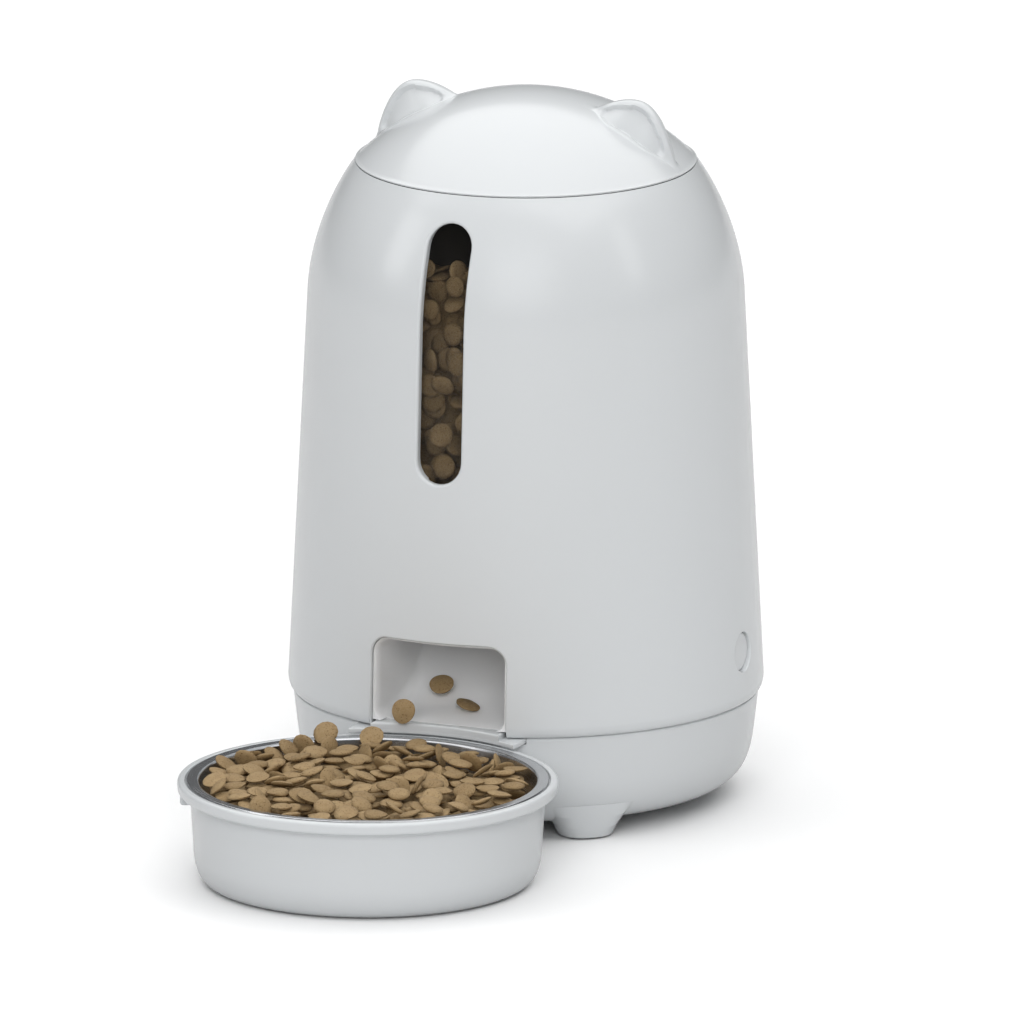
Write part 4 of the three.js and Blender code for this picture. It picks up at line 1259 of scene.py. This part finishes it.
# ------------------------------------------------------------------ bowl
def bowl():
    wall = bezier([(64.6, 0.5), (69.4, 0.5), (72.0, 5.5), (72.6, 13)], 14)
    rim = rounded([(73.8, 33.6, 0), (73.95, 37.6, 1.0), (79.2, 39.0, 1.5), (79.5, 43.8, 2.6),
                   (76.2, 43.8, 0.5), (76.2, 42.2, 0.3), (72.6, 42.2, 0.5), (70, 9, 0)],
                  closed=False)
    inside = [(69.6, 8.2), (68.2, 6.3), (66, 5.4), (0, 5.4)]
    body = spun([(0, 0.5)] + wall + rim[:-1] + [(70.4, 14)] + inside, 240, (0, BOWL_Y))
    groove = spun([(51.6, -1), (58.4, -1), (58.4, 2.8), (51.6, 2.8)], 128, (0, BOWL_Y))
    lug = turn(cuboid((-5.5, -78.2, 33.4), (5.5, -70.5, 38.6), 1.3, 4), -67)
    body = combined(body, [shift(lug, (0, BOWL_Y, 0))], "UNION")
    piece(combined(body, [groove]), "bowl_cradle", "bowl_holder", "shell_white",
          stands_for=["bowl_holder"], sharp=34, even=True)
    grip = rounded([(52, 0.2, 0.5), (54.2, 0, 0.4), (55, 0.5, 0.3), (55.8, 0, 0.4), (58, 0.2, 0.5),
                    (58, 2.5, 0.3), (52, 2.5, 0.3)])
    piece(spun(grip, 128, (0, BOWL_Y)), "cradle_grip", "bowl_holder", "grey_rubber",
          stands_for=["holder_grip"], sharp=30)
    line = rounded(
        [(0, 9.6), (52, 9.6, 6), (62.2, 13.2, 7), (67.6, 24, 10), (71.3, 42.5, 0.9),
         (75.3, 42.6, 0.2), (75.62, 43.2, 0.25), (75.2, 43.95, 0.4), (70.5, 43.75, 1.5),
         (66.6, 24.4, 10), (61.3, 14.2, 7), (51.8, 10.6, 6), (0, 10.6)],
        closed=False, steps=8,
    )
    piece(spun(line, 240, (0, BOWL_Y)), "food_bowl", "steel_bowl", "bright_steel",
          stands_for=["steel_bowl"], sharp=50)


# ------------------------------------------------------------------ dry food
def kibble_shape(segments=14):
    """One flat biconvex biscuit lying at the origin, as points and faces."""
    profile = [(0, 1.0), (0.66, 0.72), (0.97, 0.16), (0.95, -0.34), (0.62, -0.82), (0, -1.0)]
    bm = spun([(KIBBLE_R * r, KIBBLE_H * h) for r, h in profile], segments)
    points = np.array([v.co for v in bm.verts])
    faces = [[v.index for v in f.verts] for f in bm.faces]
    bm.free()
    return points, faces


def tilt_of(normal, twist):
    """A turn that lays a biscuit's face towards a direction."""
    to = Vector((0, 0, 1)).rotation_difference(Vector(normal))
    return np.array((to.to_matrix() @ Matrix.Rotation(twist, 3, "Z")))


def biscuits(name, places, body, rng, segments=14):
    """Places (centre, normal, size) of biscuits, made one piece with a tone for each."""
    points, faces = kibble_shape(segments)
    count = len(points)
    verts, polys, tones = [], [], []
    for k, (centre, normal, size) in enumerate(places):
        spin = tilt_of(normal, rng.uniform(0, 6.28))
        stretch = np.array([size * rng.uniform(0.93, 1.0), size * rng.uniform(0.93, 1.0),
                            rng.uniform(0.85, 1.1)])
        warp = 0.98 + 0.02 * np.sin(np.arctan2(points[:, 1], points[:, 0]) * 3 + rng.uniform(0, 6))
        shaped = points * stretch * np.c_[warp, warp, np.ones(count)]
        shaped[:, 2] += rng.uniform(-0.012, 0.012) * (points[:, 0] ** 2 - points[:, 1] ** 2)
        verts.append(shaped @ spin.T + np.array(centre))
        polys += [[k * count + i for i in face] for face in faces]
        tones += [rng.uniform(0, 1)] * count
    mesh = bpy.data.meshes.new("biscuits")
    mesh.from_pydata(np.concatenate(verts).tolist(), [], polys)
    mesh.attributes.new("tone", "FLOAT", "POINT").data.foreach_set("value", tones)
    bm = bmesh.new()
    bm.from_mesh(mesh)
    bpy.data.meshes.remove(mesh)
    return piece(bm, name, body, "kibble_brown", sharp=75)


def settled(rng, count, ground, inside, target, tries=14, stand=0.12, spread=0.35):
    """Drops biscuits one by one onto a height map, each where it sits lowest under the target.

    ground, inside and target are functions of (across, along) in millimetres."""
    cell = 1.0
    span = 92
    axis = np.arange(-span, span + cell, cell)
    grid_x, grid_y = np.meshgrid(axis, axis, indexing="ij")
    heights = ground(grid_x, grid_y)
    reach = int(KIBBLE_R / cell) + 1
    placed = []
    for _ in range(count):
        best = None
        for _ in range(tries):
            x, y = rng.uniform(-span + 8, span - 8, 2)
            if not inside(x, y):
                continue
            lean = rng.uniform(0.9, 1.4) if rng.random() < stand else abs(rng.normal(0, spread))
            way = rng.uniform(0, 2 * math.pi)
            normal = np.array([math.sin(lean) * math.cos(way), math.sin(lean) * math.sin(way),
                               max(math.cos(lean), 0.12)])
            normal /= np.linalg.norm(normal)
            i, j = int(round((x + span) / cell)), int(round((y + span) / cell))
            patch = (slice(i - reach, i + reach + 1), slice(j - reach, j + reach + 1))
            dx, dy = grid_x[patch] - x, grid_y[patch] - y
            plane = -(normal[0] * dx + normal[1] * dy) / normal[2]
            distance = dx ** 2 + dy ** 2 + plane ** 2
            under = distance < (KIBBLE_R * 1.02) ** 2
            if not under.any():
                continue
            bulge = KIBBLE_H * np.sqrt(np.clip(1 - distance / KIBBLE_R ** 2, 0.02, 1)) / normal[2]
            bulge = np.minimum(bulge, KIBBLE_R * 0.9)
            rest = (heights[patch] - plane + bulge)[under].max()
            score = rest - target(x, y)
            if best is None or score < best[0]:
                best = (score, x, y, rest, normal, patch, plane, bulge, under)
        if best is None or best[0] > 0:
            continue
        _, x, y, rest, normal, patch, plane, bulge, under = best
        held = heights[patch]
        held[under] = np.maximum(held[under], (rest + plane + bulge)[under])
        placed.append((np.array([x, y, rest]), normal, rng.uniform(0.86, 1.0)))
    return placed


def bowl_food():
    rng = np.random.default_rng(7)

    def ground(x, y):
        radius = np.hypot(x, y)
        wall = 24.4 + (radius - 65.8) * 4.9
        floor = np.where(radius > 65.8, np.clip(wall, 33.0, RIM_Z + 0.2), 33.0)
        return np.where(radius > 76.5, 60.0, floor)

    def inside(x, y):
        return math.hypot(x, y) < 69.5

    def target(x, y):
        radius = math.hypot(x, y)
        return 46.6 - 0.0006 * radius ** 2

    dropped = settled(rng, 2300, ground, inside, target, stand=0.18, spread=0.5)
    dropped.append((np.array([-43.0, 55.5, 46.6]), np.array([0.05, -0.72, 0.69]), 1.02))
    dropped.append((np.array([-23.4, 58.6, 46.2]), np.array([0.12, -0.66, 0.74]), 1.0))
    places = [(c + np.array([0, BOWL_Y, 0]), n, s) for c, n, s in dropped]
    biscuits("bowl_kibble", places, "steel_bowl", rng)
    heap = [(0, 11.2), (51, 11.2), (60, 15.2), (65.5, 25.5), (68.0, 33.0), (40, 35.2), (0, 36.0)]
    piece(spun(heap, 96, (0, BOWL_Y)), "bowl_kibble_core", "steel_bowl", "kibble_brown", sharp=60)


def window_food():
    """Biscuits lying against the window and filling the hopper up to its food line."""
    rng = np.random.default_rng(21)
    inner = radius_of(hopper_line(2.2))
    pane = radius_of(hopper_line(0.5))
    middle = 198.0

    def ground(x, v):
        z = v + middle
        behind = np.vectorize(pane)(z)
        behind = np.where((np.abs(x) > WINDOW_HALF + 0.6), np.vectorize(inner)(z), behind)
        return -np.sqrt(np.maximum(behind ** 2 - x ** 2, 1))

    def inside(x, v):
        return abs(x) < 17 and -52 < v < 44

    def target(x, v):
        return -73.0

    dropped = settled(rng, 1300, ground, inside, target, tries=22, stand=0.16, spread=0.55)
    places = [
        (np.array([c[0], c[2], c[1] + middle]), np.array([n[0], n[2], n[1]]), s)
        for c, n, s in dropped
    ]
    biscuits("window_kibble", places, "tank", rng)

    def floor(x, y):
        radius = np.hypot(x, y)
        return np.where(radius > 84.0, 300.0, 235.0 - FOOD_SLOPE * (y + 80))

    def within(x, y):
        return math.hypot(x, y) < 77 and not (abs(x) < 18 and y < -70)

    def top(x, y):
        return 243.5 - FOOD_SLOPE * (y + 80)

    dropped = settled(rng, 520, floor, within, top, tries=12, stand=0.12, spread=0.35)
    biscuits("hopper_kibble", dropped, "tank", rng)
    line = [(r - 3.2, z) for r, z in hopper_line(0) if 122 < z < 234]
    core = [(0, 124), (70, 124)] + [(min(r, 84.0), z) for r, z in line] + [(83.0, 235.5), (0, 236.5)]
    room = cuboid((-19, -100, 140), (19, -72.5, 250))
    above = cuboid((-120, -160, 0), (120, 160, 90))
    turn(above, -math.degrees(math.atan(FOOD_SLOPE)), "X")
    shift(above, (0, -80, 236.5))
    keep = combined(spun(core, 96), [room, above, spun([(0, 110), (38, 110), (38, 154), (0, 154)], 48)])
    piece(keep, "hopper_kibble_core", "tank", "kibble_brown", sharp=40)


def chute_food():
    """Three biscuits on their way down the slide."""
    rng = np.random.default_rng(3)
    places = [
        (np.array((-12.3, -61.7, 58.9)), np.array((0.09, -0.52, 0.84)), 1.0),
        (np.array((-15.2, -95.5, 54.6)), np.array((0.02, -0.97, 0.21)), 1.0),
        (np.array((3.4, -70.0, 53.4)), np.array((0.35, 0.0, 0.94)), 1.0),
    ]
    places = [(c, n / np.linalg.norm(n), s) for c, n, s in places]
    biscuits("chute_kibble", places, "base", rng, segments=40)


# ------------------------------------------------------------------ inner pieces that keep their solids
KEPT_FINISH = {
    "rotor_chamber": "liner_white",
    "outlet_guard": "liner_white",
    "button_guide_left": "liner_white",
    "button_guide_right": "liner_white",
    "portion_wheel": "grey_rubber",
    "stirrer": "grey_rubber",
    "battery_cell_1": "cell_jacket",
    "battery_cell_2": "cell_jacket",
    "battery_cell_3": "cell_jacket",
    "contact_left": "zinc_plate",
    "contact_right": "zinc_plate",
    "circuit_board": "circuit_green",
    "rear_board": "circuit_green",
    "feed_switch": "black_plastic",
    "gear_plate": "zinc_plate",
    "motor": "zinc_plate",
    "motor_shaft": "shaft_steel",
    "gear_axle": "shaft_steel",
    "motor_pinion": "gear_acetal",
    "compound_gear": "gear_acetal",
    "output_gear": "gear_acetal",
    "position_switch": "black_plastic",
}


def finish_kept_solids():
    for name, finish in KEPT_FINISH.items():
        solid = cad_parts[name]
        if not solid.data.materials:
            solid.data.materials.append(FINISH[finish])
        for place in solid.material_slots:
            place.material = FINISH[finish]


# ------------------------------------------------------------------ studio
def camera():
    azimuth, elevation = math.radians(23), math.radians(13.5)
    distance, frame_width, sensor = 15.0, 0.430252, 36
    data = bpy.data.cameras.new("camera")
    data.sensor_width = sensor
    data.lens = distance * sensor / frame_width
    data.clip_start, data.clip_end = 0.02, 120
    seen = bpy.data.objects.new("camera", data)
    bpy.context.scene.collection.objects.link(seen)
    right = Vector((math.cos(azimuth), math.sin(azimuth), 0))
    back = Vector((
        math.sin(azimuth) * math.cos(elevation),
        -math.cos(azimuth) * math.cos(elevation),
        math.sin(elevation),
    ))
    aim = Vector((0, AXIS_Y * MM, 0.1206)) - right * 0.0059
    seen.location = aim + back * distance
    seen.rotation_mode = "QUATERNION"
    seen.rotation_quaternion = (-back).to_track_quat("-Z", "Y")
    bpy.context.scene.camera = seen


def area_light(name, place, aim, size, power, mirrored_too=True):
    data = bpy.data.lights.new(name, "AREA")
    data.shape = "RECTANGLE"
    data.size, data.size_y = size
    data.energy = power
    lamp = bpy.data.objects.new(name, data)
    bpy.context.scene.collection.objects.link(lamp)
    lamp.location = place
    lamp.visible_glossy = mirrored_too
    lamp.rotation_mode = "QUATERNION"
    lamp.rotation_quaternion = (Vector(aim) - Vector(place)).to_track_quat("-Z", "Y")


def studio():
    bm = bmesh.new()
    bmesh.ops.create_grid(bm, x_segments=2, y_segments=2, size=40)
    mesh = bpy.data.meshes.new("studio_floor")
    bm.to_mesh(mesh)
    bm.free()
    mesh.materials.append(floor_finish())
    floor = bpy.data.objects.new("studio_floor", mesh)
    bpy.context.scene.collection.objects.link(floor)
    world = bpy.data.worlds.new("studio")
    bpy.context.scene.world = world
    world.use_nodes = True
    n = Nodes(world.node_tree)
    seen = n.add("ShaderNodeLightPath").outputs["Is Camera Ray"]
    strength = n.span(seen, 0.0, 1.0, 0.12, 1.0)
    sky = n.add("ShaderNodeBackground", {"Color": rgb(0.97, 0.985, 1.0), "Strength": strength})
    n.feed(n.add("ShaderNodeOutputWorld").inputs["Surface"], sky.outputs[0])
    middle = (0, 0.02, 0.12)
    area_light("overhead", (0.0, 1.3, 4.2), (0, 1.3, 0), (9.0, 8.0), 350)
    area_light("front_softbox", (1.3, -3.6, 1.8), middle, (2.4, 2.0), 84, mirrored_too=False)
    area_light("left_softbox", (-1.75, -1.2, 1.15), middle, (0.6, 1.0), 4)
    area_light("right_softbox", (2.1, -0.1, 1.2), middle, (0.4, 1.0), 2)
    area_light("rear_softbox", (-1.3, 3.8, 1.8), middle, (2.4, 2.0), 15, mirrored_too=False)
    view = bpy.context.scene.view_settings
    view.view_transform = "Standard"
    view.look = "None"


# ------------------------------------------------------------------ assembly
camera()
studio()
upper_shell()
window()
hopper()
lid()
base_housing()
base_deck()
dock_ledge()
fasteners_and_pads()
battery_door()
rear_fittings()
chute()
drive_cover()
for side, name in ((-1, "left"), (1, "right")):
    release_button(side, name)
    release_spring(side, name)
bowl()
bowl_food()
window_food()
chute_food()
finish_kept_solids()
